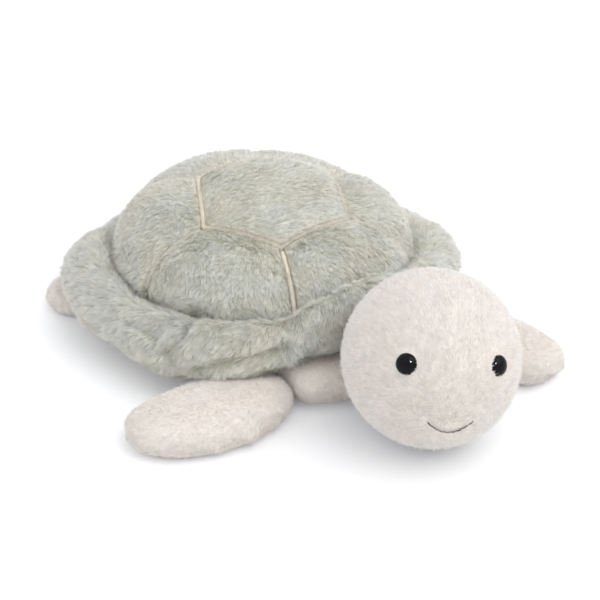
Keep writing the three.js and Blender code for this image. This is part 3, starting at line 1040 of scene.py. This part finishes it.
@dataclass
class Viewpoint:
    """The photo's viewing angle, and where its pixels lie on the object."""

    azimuth: float = -38.0
    elevation: float = 30.0
    distance: float = 1.1
    aim: Place = (0.0, 0.0, 45 * MM)
    focal_px: float = 1782.0
    middle_px: Pixel = (261.9, 242.5)
    frame_px: float = 600.0
    sensor: float = 36.0

    def back(self) -> Vector:
        """The way from the object to the camera."""
        return towards(self.azimuth, self.elevation)

    def place(self) -> None:
        """Adds the scene's camera."""
        data = bpy.data.cameras.new("camera")
        data.sensor_width = self.sensor
        data.lens = self.focal_px / self.frame_px * self.sensor
        data.shift_x = (self.frame_px / 2 - self.middle_px[0]) / self.frame_px
        data.shift_y = (self.middle_px[1] - self.frame_px / 2) / self.frame_px
        camera = bpy.data.objects.new("camera", data)
        camera.location = Vector(self.aim) + self.back() * self.distance
        camera.rotation_euler = (-self.back()).to_track_quat("-Z", "Y").to_euler()
        bpy.context.scene.collection.objects.link(camera)
        bpy.context.scene.camera = camera

    def seen(self, tree: BVHTree, pixel: Pixel) -> Vector | None:
        """Finds the point of a surface that the photo shows at a pixel.

        Args:
            tree: The surface.
            pixel: The pixel, from the photo's top left corner.

        Returns:
            The point, or None where the surface isn't seen.
        """
        back = self.back()
        right = Vector((0, 0, 1)).cross(back).normalized()
        up = back.cross(right)
        across = (pixel[0] - self.middle_px[0]) / self.focal_px
        rise = (self.middle_px[1] - pixel[1]) / self.focal_px
        way = (right * across + up * rise - back).normalized()
        return tree.ray_cast(Vector(self.aim) + back * self.distance, way)[0]


@dataclass
class Studio:
    """A plain white floor with soft light from above."""

    floor_size: float = 12.0
    floor_bounce: float = 0.92
    # A faint blue glow that the camera sees on the floor: painted light in its shadows.
    shadow_glow: Colour = (0.1, 0.11, 0.135)
    seen_floor: float = 0.97
    sky: float = 0.9
    key: float = 0.24
    key_azimuth: float = 30.0
    key_elevation: float = 58.0
    key_softness: float = 55.0
    glint_size: float = 0.16
    glint_power: float = 14.0
    glint_colour: Colour = (0.75, 0.86, 1.0)
    glint_place: Place = (-0.25, -0.75, 0.75)

    def build(self) -> None:
        """Adds the floor, the world and the lamps."""
        bpy.context.scene.view_settings.view_transform = "Standard"
        self._floor()
        self._world()
        self._lamps()

    def _floor(self) -> None:
        """Adds the floor, which the camera sees white outside the shadows."""
        Bench.clear()
        bpy.ops.mesh.primitive_plane_add(size=self.floor_size)
        floor = bpy.context.object
        floor.name = "floor"
        dress = Dress(bpy.data.materials.new("white_floor"))
        seen = dress.ray("Is Camera Ray")
        bounce = (self.floor_bounce,) * 3
        dress.set(Base_Color=dress.between(seen, bounce, (self.seen_floor,) * 3))
        # For the camera the floor also glows faintly blue: painted light that lifts its shadows and
        # tints them blue.
        dress.set(Emission_Color=dress.between(seen, BLACK, self.shadow_glow))
        dress.set(Emission_Strength=1.0, Roughness=1.0, Specular_IOR_Level=0.0)
        floor.data.materials.append(dress.owner)

    def _world(self) -> None:
        """Makes the world light the object evenly, and look white to the camera."""
        dress = Dress(bpy.data.worlds.new("studio"), "Background")
        bpy.context.scene.world = dress.owner
        rays = {0: dress.ray("Is Camera Ray"), 1: dress.ray("Is Transmission Ray")}
        seen = dress.node("ShaderNodeMath", {"operation": "MAXIMUM"}, rays)
        values = {"Value": seen, "To Min": self.sky, "To Max": 1.0}
        dress.set(Color=opaque(WHITE), Strength=dress.node("ShaderNodeMapRange", {}, values))

    def _lamps(self) -> None:
        """Adds the soft key lamp, and a small one that only glints."""
        key = bpy.data.lights.new("key", "SUN")
        key.energy = math.pi * self.key / math.sin(math.radians(self.key_elevation))
        key.angle = math.radians(self.key_softness)
        self._hang(key, towards(self.key_azimuth, self.key_elevation))
        glint = bpy.data.lights.new("glint", "AREA")
        glint.size = self.glint_size
        glint.energy = self.glint_power
        glint.color = self.glint_colour
        spot = self._hang(glint, Vector(self.glint_place))
        spot.location = self.glint_place
        spot.visible_diffuse = False

    @staticmethod
    def _hang(lamp: bpy.types.Light, way: Vector) -> bpy.types.Object:
        """Adds a lamp that shines at the object.

        Args:
            lamp: The lamp.
            way: The way from the object to the lamp.

        Returns:
            The lamp's object.
        """
        hung = bpy.data.objects.new(lamp.name, lamp)
        hung.rotation_euler = way.to_track_quat("Z", "Y").to_euler()
        bpy.context.scene.collection.objects.link(hung)
        return hung


@dataclass(frozen=True)
class Panel:
    """One panel of the dome: how far it is crowned, and its own nap where that isn't outwards."""

    place: str
    crown: float
    nap: Place | None = None


@dataclass(frozen=True)
class Cord:
    """A piece of piping, and the ends of the stretch that the pile leaves bare."""

    place: str
    bare: tuple[Place, ...] = ()
    bare_width: float = 2.5 * MM
    bare_fade: float = 8 * MM
    least_fur: float = 0.05
    most_fur: float = 0.7
    least_cut: float = 0.42
    fur_cut: float = 0.6

    def furred(self, points: Array, normals: Array) -> Array:
        """The share of the panels' pile at each point.

        Args:
            points: The places, one row each.
            normals: Not used.

        Returns:
            One share a point.
        """
        if not self.bare:
            return self.most_fur * everywhere(points, normals)
        away = from_line(points, np.array(self.bare))
        return np.clip((away - self.bare_width) / self.bare_fade, self.least_fur, self.most_fur)

    def cut(self, points: Array, normals: Array) -> Array:
        """The share of the fibres' full length at each point."""
        return self.least_cut + self.fur_cut * self.furred(points, normals)


@dataclass(frozen=True)
class Crease:
    """A fold in the rim, through points that the photo shows at those pixels.

    It goes into the rim, or where a way is given, the rim is pushed that way.
    """

    path_px: tuple[Pixel, ...]
    depth: float
    width: float
    way: Place | None = None


PANELS = (
    Panel("middle", 1.2 * MM, (0.78, -0.6, 0.0)),
    Panel("front_left", 1.8 * MM),
    Panel("rear_left", -2.2 * MM),
    Panel("rear", -1.8 * MM),
    Panel("rear_right", -0.8 * MM),
    Panel("front_right", 1.8 * MM),
    Panel("front", 1.8 * MM),
)
HEXAGON_REAR_RIGHT = (-24.9 * MM, 31.9 * MM, 82.7 * MM)
HEXAGON_FRONT_RIGHT = (-54.5 * MM, -13.3 * MM, 80.6 * MM)
HEXAGON_FRONT = (-29.5 * MM, -55.8 * MM, 75.8 * MM)
FRONT_SEAM_END = (-43 * MM, -92 * MM, 40 * MM)
CORDS = (
    Cord("middle", (HEXAGON_REAR_RIGHT, HEXAGON_FRONT_RIGHT)),
    Cord("seam_1"),
    Cord("seam_2"),
    Cord("seam_3"),
    Cord("seam_4"),
    Cord("seam_5"),
    Cord("seam_6", (HEXAGON_FRONT, FRONT_SEAM_END)),
)
UP = (0, 0, 1)
DOWN = (0, 0, -1)
RIM_CREASES = (
    Crease(((322, 322), (338, 312), (358, 302), (380, 292)), 10 * MM, 14 * MM, UP),
    Crease(((160, 358), (190, 366), (215, 369), (240, 369)), 5 * MM, 14 * MM, DOWN),
    Crease(((193, 320), (184, 330), (174, 341), (164, 350)), 7.5 * MM, 3.4 * MM),
    Crease(((198, 366), (215, 360), (235, 357), (260, 355), (285, 351)), 7.0 * MM, 3.0 * MM),
    Crease(((288, 342), (290, 350), (288, 358)), 4.5 * MM, 3.0 * MM),
    Crease(((112, 232), (113, 246), (118, 258)), 5.0 * MM, 3.5 * MM),
    Crease(((128, 322), (142, 326), (156, 334)), 4.5 * MM, 3.2 * MM),
)


@dataclass
class Shell:
    """The dome's seven panels with piping between them, the padded rim and the underside.

    The softening is how often a skin is smoothed. Each outside pair turns the share of a normal
    that points outwards into a share of pile, by a factor and a start.
    """

    frame: dict
    view: Viewpoint
    sage: Material
    cream: Material
    piping: Material
    droop: Place = (0.0, 0.0, -0.3)
    panel_voxel: float = 1.2 * MM
    panel_softening: int = 3
    panel_outside: tuple[float, float] = (4.0, 0.6)
    panel_fill: float = 0.75
    crown_reach: float = 10 * MM
    ring_swell: float = 3.4 * MM
    ring_slant: float = 1.2 * MM
    ring_reach: float = 16 * MM
    hem_drop: float = 8 * MM
    hem_reach: float = 4 * MM
    hem_draw: float = 0.02
    hem_fur: float = 0.7
    hem_fur_reach: float = 9 * MM
    seam_reach: float = 6 * MM
    seam_cut: float = 0.85
    seam_growth: float = 0.15
    seam_pale: float = 0.75
    seam_pale_reach: float = 2.2 * MM
    cord_voxel: float = 0.6 * MM
    cord_softening: int = 4
    cord_outside: tuple[float, float] = (3.0, 1.0)
    cord_swell: float = 0.35 * MM
    cord_sink: float = 0.6 * MM
    base_height: float = 40.5 * MM
    base_lean: tuple[float, float] = (-0.04647, -0.01637)
    rim_voxel: float = 4.0 * MM
    rim_start: float = 5.4 * MM
    rim_pressure: float = 4.0
    rim_swell: float = 2.0 * MM
    rim_softening: int = 3
    rim_fill: float = 0.6
    rim_along: float = 0.55
    rim_outside: tuple[float, float] = (3.0, 1.0)
    rim_facing: tuple[float, float] = (-0.9, 0.85)
    rim_inner_top: float = 34 * MM
    rim_inner_facing: float = -0.4
    rim_inner_cover: float = 0.1
    rim_level_cover: float = 0.75
    rim_least_cover: float = 0.35
    rim_edge_top: float = 21 * MM
    rim_edge_reach: float = 9 * MM
    rim_edge_most: float = 0.85
    belly_voxel: float = 2.5 * MM
    belly_softening: int = 4
    belly_fill: float = 0.6
    belly_swell: float = 3.9 * MM
    chest_swell: float = 5.2 * MM
    chest_end: float = -80 * MM
    inside_swell: float = 0.3 * MM
    inside_depth: float = -6 * MM
    bare_depth: float = -4 * MM
    chest_pile_end: float = -70 * MM
    belly_cover: float = 0.2
    floor_cover: float = 0.1
    seams: BVHTree = field(init=False)
    middle_seam: BVHTree = field(init=False)

    def above_base(self, points: Array) -> Array:
        """How far the points lie above the dome's leaning base."""
        return points[:, 2] - self.base_height - points[:, :2] @ np.array(self.base_lean)

    def outwards(self, points: Array, normals: Array) -> Array:
        """From the middle of the shell to its edge, and a little down."""
        return from_middle(points) + np.array(self.droop)

    def round_rim(self, points: Array, normals: Array) -> Array:
        """Brushes the rim outwards, into the groove on its inner side, and away from the head.

        Args:
            points: The places, one row each.
            normals: The skin's normals there.

        Returns:
            One way a point.
        """
        out = from_middle(points)
        ahead = np.array([0.0, -1.0, 0.0])
        along = ahead - (out @ ahead)[:, None] * out
        slope, start = self.rim_outside
        facing = (normals * out).sum(1, keepdims=True) * slope + start
        facing = np.clip(facing, *self.rim_facing)
        return out * facing - along * self.rim_along + np.array(self.droop)

    def build(self) -> None:
        """Builds the shell's pieces."""
        nodes = [node for name, node in self.frame["nodes"].items() if name.startswith("piping")]
        self.seams = Bench.tree(*nodes)
        self.middle_seam = Bench.tree(self.frame["nodes"]["piping_middle"])
        for panel in PANELS:
            self._panel(panel)
        for cord in CORDS:
            self._piping(cord)
        self._rim()
        self._underside()

    def _beside_seams(self, points: Array, normals: Array) -> Array:
        """Cuts the fibres shorter beside the seams, and leaves them longer at the hem.

        Args:
            points: The places, one row each.
            normals: Not used.

        Returns:
            One share of the full length a point.
        """
        away = from_surface(points, self.seams)
        cut = np.clip(self.seam_cut + self.seam_growth * away / self.seam_reach, self.seam_cut, 1)
        return cut + self.hem_fur * below(self.above_base(points), self.hem_fur_reach)

    def _seam_edge(self, points: Array, normals: Array) -> Array:
        """The share of the paler edge colour, which the panels show close to the seams."""
        return self.seam_pale * near(from_surface(points, self.seams), self.seam_pale_reach)

    def _ring(self, points: Array) -> Array:
        """Swells the six panels round the middle one, with the piping between them.

        Args:
            points: The places, one row each.

        Returns:
            How each point moves.
        """
        away = from_surface(points, self.middle_seam)
        above = np.clip(self.above_base(points), 0, None)
        from_seam = 1 - near(away, self.ring_reach)
        from_hem = 1 - near(above, self.ring_reach)
        out = from_core(points)
        swell = self.ring_swell + self.ring_slant * out[:, 1]
        return out * (swell * from_seam * from_hem)[:, None]

    def _comb(self, panel: Panel) -> Field:
        """Chooses how a panel is brushed.

        Args:
            panel: The panel.

        Returns:
            Its own nap, or outwards.
        """
        if panel.nap is None:
            return self.outwards
        return lambda points, normals: np.tile(panel.nap, (len(points), 1))

    def _panel(self, panel: Panel) -> None:
        """Builds one crowned panel, whose hem goes down into the groove of the rim.

        Args:
            panel: The panel.
        """
        node = f"scute_{panel.place}"
        piece = Bench.copy_node(self.frame["nodes"][node], f"panel_{panel.place}")
        Bench.remesh(piece, self.panel_voxel)
        points = Bench.points(piece)
        above = np.clip(self.above_base(points), 0, None)
        from_seam = 1 - near(from_surface(points, self.seams), self.crown_reach)
        from_hem = 1 - near(above, self.crown_reach)
        normals = Bench.normals(piece)
        crown = panel.crown * from_seam * from_hem * self._upper(points, normals)
        points += normals * crown[:, None] + self._ring(points) * (panel.place != "middle")
        if panel.place != "middle":
            low = below(above, self.hem_reach) ** 2
            points[:, 2] -= low * self.hem_drop
            points[:, :2] *= 1 - self.hem_draw * low[:, None]
        Bench.shape(piece, points)
        Bench.soften(piece, self.panel_softening)
        nap = Nap(self._comb(panel), self._upper, self._beside_seams, self._seam_edge)
        furnish(piece, self.sage, DOME_PILE, nap)
        seat(piece, "shell", (node,))

    def _upper(self, points: Array, normals: Array) -> Array:
        """1 on the outside of a panel, 0 on its underside."""
        slope, start = self.panel_outside
        return np.clip((normals * from_core(points)).sum(1) * slope + start, 0, 1)

    def _outer(self, points: Array, normals: Array) -> Array:
        """1 where a cord faces out of the dome, 0 on its hidden side."""
        slope, start = self.cord_outside
        return np.clip((normals * from_core(points)).sum(1) * slope + start, 0, 1)

    def _piping(self, cord: Cord) -> None:
        """Builds one piece of piping, which the panels' pile covers outside its bare stretch.

        Args:
            cord: The piece of piping.
        """
        node = f"piping_{cord.place}"
        piece = Bench.copy_node(self.frame["nodes"][node], f"cord_{cord.place}")
        Bench.remesh(piece, self.cord_voxel)
        points = Bench.points(piece)
        covered = cord.furred(points, points)[:, None]
        sunk = from_core(points) * covered * self.cord_sink
        Bench.shape(piece, points - sunk + self._ring(points) * (cord.place != "middle"))
        Bench.soften(piece, self.cord_softening)
        Bench.inflate(piece, self.cord_swell)
        nap = Nap(self.outwards, self._outer, cord.cut, cord.furred)
        furnish(piece, self.piping, PIPING_PILE, nap)
        seat(piece, "shell", (node,))

    def _rim(self) -> None:
        """Builds the stuffed and creased roll round the dome."""
        piece = Bench.copy_node(self.frame["nodes"]["rim_stuffing"], "rim_roll")
        Bench.remesh(piece, self.rim_voxel)
        Bench.inflate(piece, self.rim_start)
        Bench.stuff(piece, self.rim_pressure, self.rim_swell)
        Bench.soften(piece, self.rim_softening)
        tree = Bench.tree(piece)
        points = Bench.points(piece)
        moved = np.zeros_like(points)
        inwards = -Bench.normals(piece)
        for crease in RIM_CREASES:
            line = [self.view.seen(tree, pixel) for pixel in crease.path_px]
            away = from_line(points, np.array([place for place in line if place]))
            share = near(away, crease.width)[:, None]
            moved += share * crease.depth * (np.array(crease.way) if crease.way else inwards)
        Bench.shape(piece, points + moved)
        nap = Nap(self.round_rim, cover=self._rim_cover, edge=self._rim_edge)
        furnish(piece, self.sage, RIM_PILE, nap)
        seat(piece, "shell", ("rim_cover", "rim_stuffing"))

    def _rim_cover(self, points: Array, normals: Array) -> Array:
        """Thins the fibres under the rim and on its hidden inner side.

        Args:
            points: The places, one row each.
            normals: The skin's normals there.

        Returns:
            One share of the full density a point.
        """
        out = (normals * from_middle(points)).sum(1)
        hidden = (out < self.rim_inner_facing) & (points[:, 2] < self.rim_inner_top)
        cover = np.clip(self.rim_level_cover + normals[:, 2], self.rim_least_cover, 1)
        return np.where(hidden, self.rim_inner_cover, cover)

    def _rim_edge(self, points: Array, normals: Array) -> Array:
        """The share of the paler edge colour, which the rim shows low down."""
        above = points[:, 2]
        return np.clip((self.rim_edge_top - above) / self.rim_edge_reach, 0, self.rim_edge_most)

    def _underside(self) -> None:
        """Builds the stuffed underside."""
        piece = Bench.copy_node(self.frame["nodes"]["body_stuffing"], "underside")
        Bench.remesh(piece, self.belly_voxel)
        points = Bench.points(piece)
        grown = np.where(points[:, 1] < self.chest_end, self.chest_swell, self.belly_swell)
        inside = self.above_base(points) > self.inside_depth
        grown = np.where(inside, self.inside_swell, grown)[:, None]
        Bench.shape(piece, points + Bench.normals(piece) * grown)
        Bench.soften(piece, self.belly_softening)
        points = Bench.points(piece)
        keep_off_floor(points)
        Bench.shape(piece, points)
        furnish(piece, self.cream, CREAM_PILE, Nap(self.outwards, cover=self._under_cover))
        seat(piece, "shell", ("belly_cover", "body_stuffing"))

    def _under_cover(self, points: Array, normals: Array) -> Array:
        """Leaves the skin bare inside the dome, and nearly so where it lies on the floor.

        Args:
            points: The places, one row each.
            normals: The skin's normals there.

        Returns:
            One share of the full density a point.
        """
        outside = self.above_base(points) < self.bare_depth
        cover = np.where(points[:, 1] < self.chest_pile_end, 1.0, self.belly_cover)
        return outside * np.where(normals[:, 2] < FACES_FLOOR, self.floor_cover, cover)


class Side(Enum):
    """A side of the turtle, as its nodes' names have it."""

    RIGHT = "right"
    LEFT = "left"


@dataclass
class Head:
    """The head ball with its low snout, the eyes, the mouth and the neck's collar.

    The angles of the face are in degrees.
    """

    frame: dict
    cream: Material
    eye: Material
    washer: Material
    thread: Material
    middle: Place = (-9.5 * MM, -163.5 * MM, 49.6 * MM)
    radius: float = 48.3 * MM
    divisions: int = 5
    fill: float = 0.85
    snout_swell: float = 2.5 * MM
    snout_drop: float = 12.0
    snout_width: float = 34.0
    face_turn: float = -29.5
    face_tilt: float = 6.8
    neck: Place = (-5 * MM, -110 * MM, 30 * MM)
    neck_reach: float = 20 * MM
    neck_cover: float = 0.3
    eye_radius: float = 6 * MM
    eye_rings: int = 24
    eye_height: float = 4.2 * MM
    eye_sink: float = 1.2 * MM
    eye_back: float = 0.3
    eye_bare: float = 0.9
    eye_trim: float = 0.72
    eye_trim_reach: float = 8 * MM
    mouth_middle: float = 1.0
    mouth_half: float = 15.0
    mouth_drop: float = -16.0
    mouth_curl: float = 7.0
    mouth_trim: float = 0.5
    mouth_trim_reach: float = 3 * MM
    mouth_places: int = 9
    mouth_stitches: int = 8
    stitch_steps: int = 6
    stitch_gap: float = 0.06
    stitch_length: float = 0.88
    thread_radius: float = 0.45 * MM
    thread_lift: float = 1.7 * MM
    thread_arch: float = 0.3 * MM
    thread_sink: float = 0.45 * MM
    collar_voxel: float = 1.2 * MM
    collar_draw: float = 0.96
    collar_softening: int = 4
    collar_facing: float = 0.2
    collar_hidden_cover: float = 0.1
    collar_fill: float = 0.4

    @property
    def centre(self) -> Array:
        """The middle of the ball."""
        return np.array(self.middle)

    def face_way(self, aside: float, lift: float) -> Vector:
        """Turns a way with the face.

        Args:
            aside: The way's angle to the left of the middle of the face.
            lift: Its angle above the middle of the face.

        Returns:
            The way out of the head.
        """
        turned = Matrix.Rotation(math.radians(self.face_turn), 3, "Z")
        tilted = Matrix.Rotation(math.radians(self.face_tilt), 3, "Y")
        return turned @ tilted @ towards(aside, lift)

    def snout_way(self) -> Array:
        """The way from the middle of the ball to the tip of the snout."""
        return np.array(self.face_way(0, -self.snout_drop))

    def reach(self, ways: Array) -> Array:
        """How far the head's skin is from its middle, along each way."""
        apart = np.degrees(np.arccos(np.clip(ways @ self.snout_way(), -1, 1)))
        return self.radius + self.snout_swell * near(apart, self.snout_width)

    def build(self) -> None:
        """Builds the head's pieces."""
        self._ball()
        for side in Side:
            self._eye(side)
            washer = self.frame["nodes"][f"eye_washer_{side.value}"]
            washer.data.materials.clear()
            washer.data.materials.append(self.washer)
        self._mouth()
        self._collar()

    def _ball(self) -> None:
        """Builds the ball from a primitive."""
        Bench.clear()
        bpy.ops.mesh.primitive_ico_sphere_add(subdivisions=self.divisions, radius=self.radius)
        piece = bpy.context.object
        piece.name = "head_ball"
        ways = unit(Bench.points(piece))
        Bench.shape(piece, ways * self.reach(ways)[:, None] + self.centre)
        nap = Nap(self._to_neck, cover=self._cover, cut=self._cut)
        furnish(piece, self.cream, HEAD_PILE, nap)
        seat(piece, "head", ("head_cover", "head_stuffing"))

    def _to_neck(self, points: Array, normals: Array) -> Array:
        """Brushes the pile from the snout over the head to the neck.

        Args:
            points: The places, one row each.
            normals: Not used.

        Returns:
            One way a point.
        """
        from_snout = points - (self.centre + self.snout_way() * self.radius)
        to_neck = np.array(self.neck) - points
        near_snout = (from_snout**2).sum(1, keepdims=True)
        near_neck = (to_neck**2).sum(1, keepdims=True)
        return unit(from_snout / near_snout + to_neck / near_neck)

    def _eye_places(self) -> list[Array]:
        """Finds the middles of the two eyes on the skin.

        Returns:
            The two places.
        """
        places = []
        for side in Side:
            low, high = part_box(f"eye_{side.value}")
            way = ((low + high) / 2 - Vector(self.middle)).normalized()
            places.append(self.centre + np.array(way) * self.radius)
        return places

    def _cover(self, points: Array, normals: Array) -> Array:
        """Leaves no fibres under the eyes, and few inside the neck.

        Args:
            points: The places, one row each.
            normals: Not used.

        Returns:
            One share of the full density a point.
        """
        share = np.ones(len(points))
        for place in self._eye_places():
            share *= from_place(points, place) > self.eye_radius * self.eye_bare
        inside = from_place(points, np.array(self.neck)) < self.neck_reach
        return share * np.where(inside, self.neck_cover, 1.0)

    def _cut(self, points: Array, normals: Array) -> Array:
        """Cuts the fibres shorter round the eyes and along the mouth.

        Args:
            points: The places, one row each.
            normals: Not used.

        Returns:
            One share of the full length a point.
        """
        share = np.ones(len(points))
        for place in self._eye_places():
            share *= np.clip(from_place(points, place) / self.eye_trim_reach, self.eye_trim, 1)
        shares = np.linspace(-1, 1, self.mouth_places)
        line = np.array([self._mouth_point(place, 0.0) for place in shares])
        return share * np.clip(from_line(points, line) / self.mouth_trim_reach, self.mouth_trim, 1)

    def _eye(self, side: Side) -> None:
        """Builds one polished eye from a primitive, where the CAD eye has its top.

        Args:
            side: Which eye it is.
        """
        node = f"eye_{side.value}"
        corners = np.array([v.co for v in self.frame["nodes"][node].data.vertices])
        axis = Vector(unit(corners.mean(0) - self.centre))
        top = ((corners - self.centre) @ np.array(axis)).max()
        Bench.clear()
        bpy.ops.mesh.primitive_uv_sphere_add(
            segments=2 * self.eye_rings, ring_count=self.eye_rings, radius=self.eye_radius
        )
        piece = bpy.context.object
        piece.name = f"eye_dome_{side.value}"
        points = Bench.points(piece)
        points[:, 2] *= np.where(points[:, 2] > 0, 1.0, self.eye_back)
        points[:, 2] *= self.eye_height / self.eye_radius
        turn = np.array(Vector(UP).rotation_difference(axis).to_matrix())
        base = self.centre + np.array(axis) * (top - self.eye_height - self.eye_sink)
        Bench.shape(piece, points @ turn.T + base)
        piece.data.shade_smooth()
        piece.data.materials.append(self.eye)
        seat(piece, "head", (node,))

    def _mouth_point(self, share: float, lift: float) -> Vector:
        """Finds a point of the mouth.

        Args:
            share: Its place from -1 at the right end to 1 at the left end.
            lift: How far it is lifted off the skin.

        Returns:
            The point.
        """
        aside = self.mouth_middle + self.mouth_half * share
        way = self.face_way(aside, self.mouth_drop + self.mouth_curl * share**2)
        return Vector(self.middle) + way * (self.reach(np.array([way]))[0] + lift)

    def _mouth(self) -> None:
        """Builds the mouth from short stitches."""
        curve = bpy.data.curves.new("mouth_thread", "CURVE")
        curve.dimensions = "3D"
        curve.bevel_depth = self.thread_radius
        curve.bevel_resolution = 3
        curve.use_fill_caps = True
        for stitch in range(self.mouth_stitches):
            spline = curve.splines.new("POLY")
            spline.points.add(self.stitch_steps)
            for step, point in enumerate(spline.points):
                place = stitch + self.stitch_gap + self.stitch_length * step / self.stitch_steps
                share = 2 * place / self.mouth_stitches - 1
                arch = self.thread_arch * math.sin(math.pi * step / self.stitch_steps)
                lift = self.thread_lift + arch - self.thread_sink * (share + 1) ** 2
                point.co = (*self._mouth_point(share, lift), 1.0)
        piece = bpy.data.objects.new("mouth_thread", curve)
        bpy.context.scene.collection.objects.link(piece)
        Bench.pick(piece)
        bpy.ops.object.convert(target="MESH")
        piece = bpy.context.object
        piece.data.shade_smooth()
        piece.data.materials.clear()
        piece.data.materials.append(self.thread)
        seat(piece, "head", ("mouth_stitch",))

    def _outside(self, points: Array, normals: Array) -> Array:
        """Full cover where the collar faces out of the head, and little where it lies on it."""
        facing = (normals * unit(points - self.centre)).sum(1)
        return np.where(facing > self.collar_facing, 1.0, self.collar_hidden_cover)

    def _collar(self) -> None:
        """Builds the strip that joins the neck to the head."""
        piece = Bench.copy_node(self.frame["nodes"]["neck_collar"], "neck_band")
        Bench.remesh(piece, self.collar_voxel)
        drawn = self.centre + (Bench.points(piece) - self.centre) * self.collar_draw
        Bench.shape(piece, drawn)
        Bench.soften(piece, self.collar_softening)
        furnish(piece, self.cream, CREAM_PILE, Nap(self._to_neck, cover=self._outside))
        seat(piece, "neck", ("neck_collar",))


@dataclass
class Flipper:
    """One stuffed flipper, brushed from its root to its tip."""

    frame: dict
    name: str
    root: tuple[float, float]
    cream: Material
    voxel: float = 3.6 * MM
    first_softening: int = 4
    start: float = 6.0 * MM
    pressure: float = 4.0
    swell: float = 2.0 * MM
    last_softening: int = 14
    stretch: float = 0.06
    rise: float = 0.14
    floor_cover: float = 0.3
    fill: float = 0.7

    def from_root(self, points: Array) -> Array:
        """The level way and distance from the root to each point."""
        return (points - np.array([*self.root, 0])) * LEVEL

    def build(self) -> None:
        """Builds the flipper."""
        piece = Bench.copy_node(self.frame["nodes"][f"{self.name}_stuffing"], f"{self.name}_pad")
        Bench.remesh(piece, self.voxel)
        Bench.soften(piece, self.first_softening)
        Bench.inflate(piece, self.start)
        Bench.stuff(piece, self.pressure, self.swell)
        Bench.soften(piece, self.last_softening)
        points = Bench.points(piece)
        points += self.from_root(points) * self.stretch
        points[:, 2] *= 1 + self.rise
        keep_off_floor(points)
        Bench.shape(piece, points)
        furnish(piece, self.cream, CREAM_PILE, Nap(self._to_tip, cover=self._cover))
        nodes = (f"{self.name}_cover", f"{self.name}_stuffing")
        seat(piece, self.name, nodes)

    def _to_tip(self, points: Array, normals: Array) -> Array:
        """From the root to the tip."""
        return unit(self.from_root(points))

    def _cover(self, points: Array, normals: Array) -> Array:
        """Few fibres where the flipper lies on the floor."""
        return np.where(normals[:, 2] < FACES_FLOOR, self.floor_cover, 1.0)


def furnish(piece: Piece, material: Material, pile: Pile, nap: Nap) -> None:
    """Gives a piece its material and its pile.

    Args:
        piece: The piece, whose skin is final.
        material: The plush's material.
        pile: How the plush's pile is cut.
        nap: How it lies on the piece.
    """
    piece.data.materials.append(material)
    count = pile.grow(piece, nap)
    LOG.info("%s: %d fibres", piece.name, count)


def seat(
    piece: Piece, body: str, nodes: tuple[str, ...]
) -> None:
    """Sets a piece on its body, in place of its CAD nodes.

    Args:
        piece: The piece.
        body: The CAD body that it rides on.
        nodes: The CAD nodes that it stands for.
    """
    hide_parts(*nodes)
    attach(piece, body)
    LOG.info("%s: %d faces, on %s", piece.name, len(piece.data.polygons), body)


def main() -> None:
    """Builds the turtle and its studio."""
    logging.basicConfig(level=logging.INFO, format="%(message)s")
    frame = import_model()
    Studio().build()
    view = Viewpoint()
    view.place()
    cream = CREAM.build()
    Shell(frame, view, SAGE.build(), cream, PIPING.build()).build()
    Head(frame, cream, EYE.build(), WASHER.build(), THREAD.build()).build()
    for joint in frame["joints"]:
        if joint["child"].endswith(("flipper_right", "flipper_left")):
            Flipper(frame, joint["child"], tuple(joint["pos_m"][:2]), cream).build()


if __name__ == "__main__":
    main()
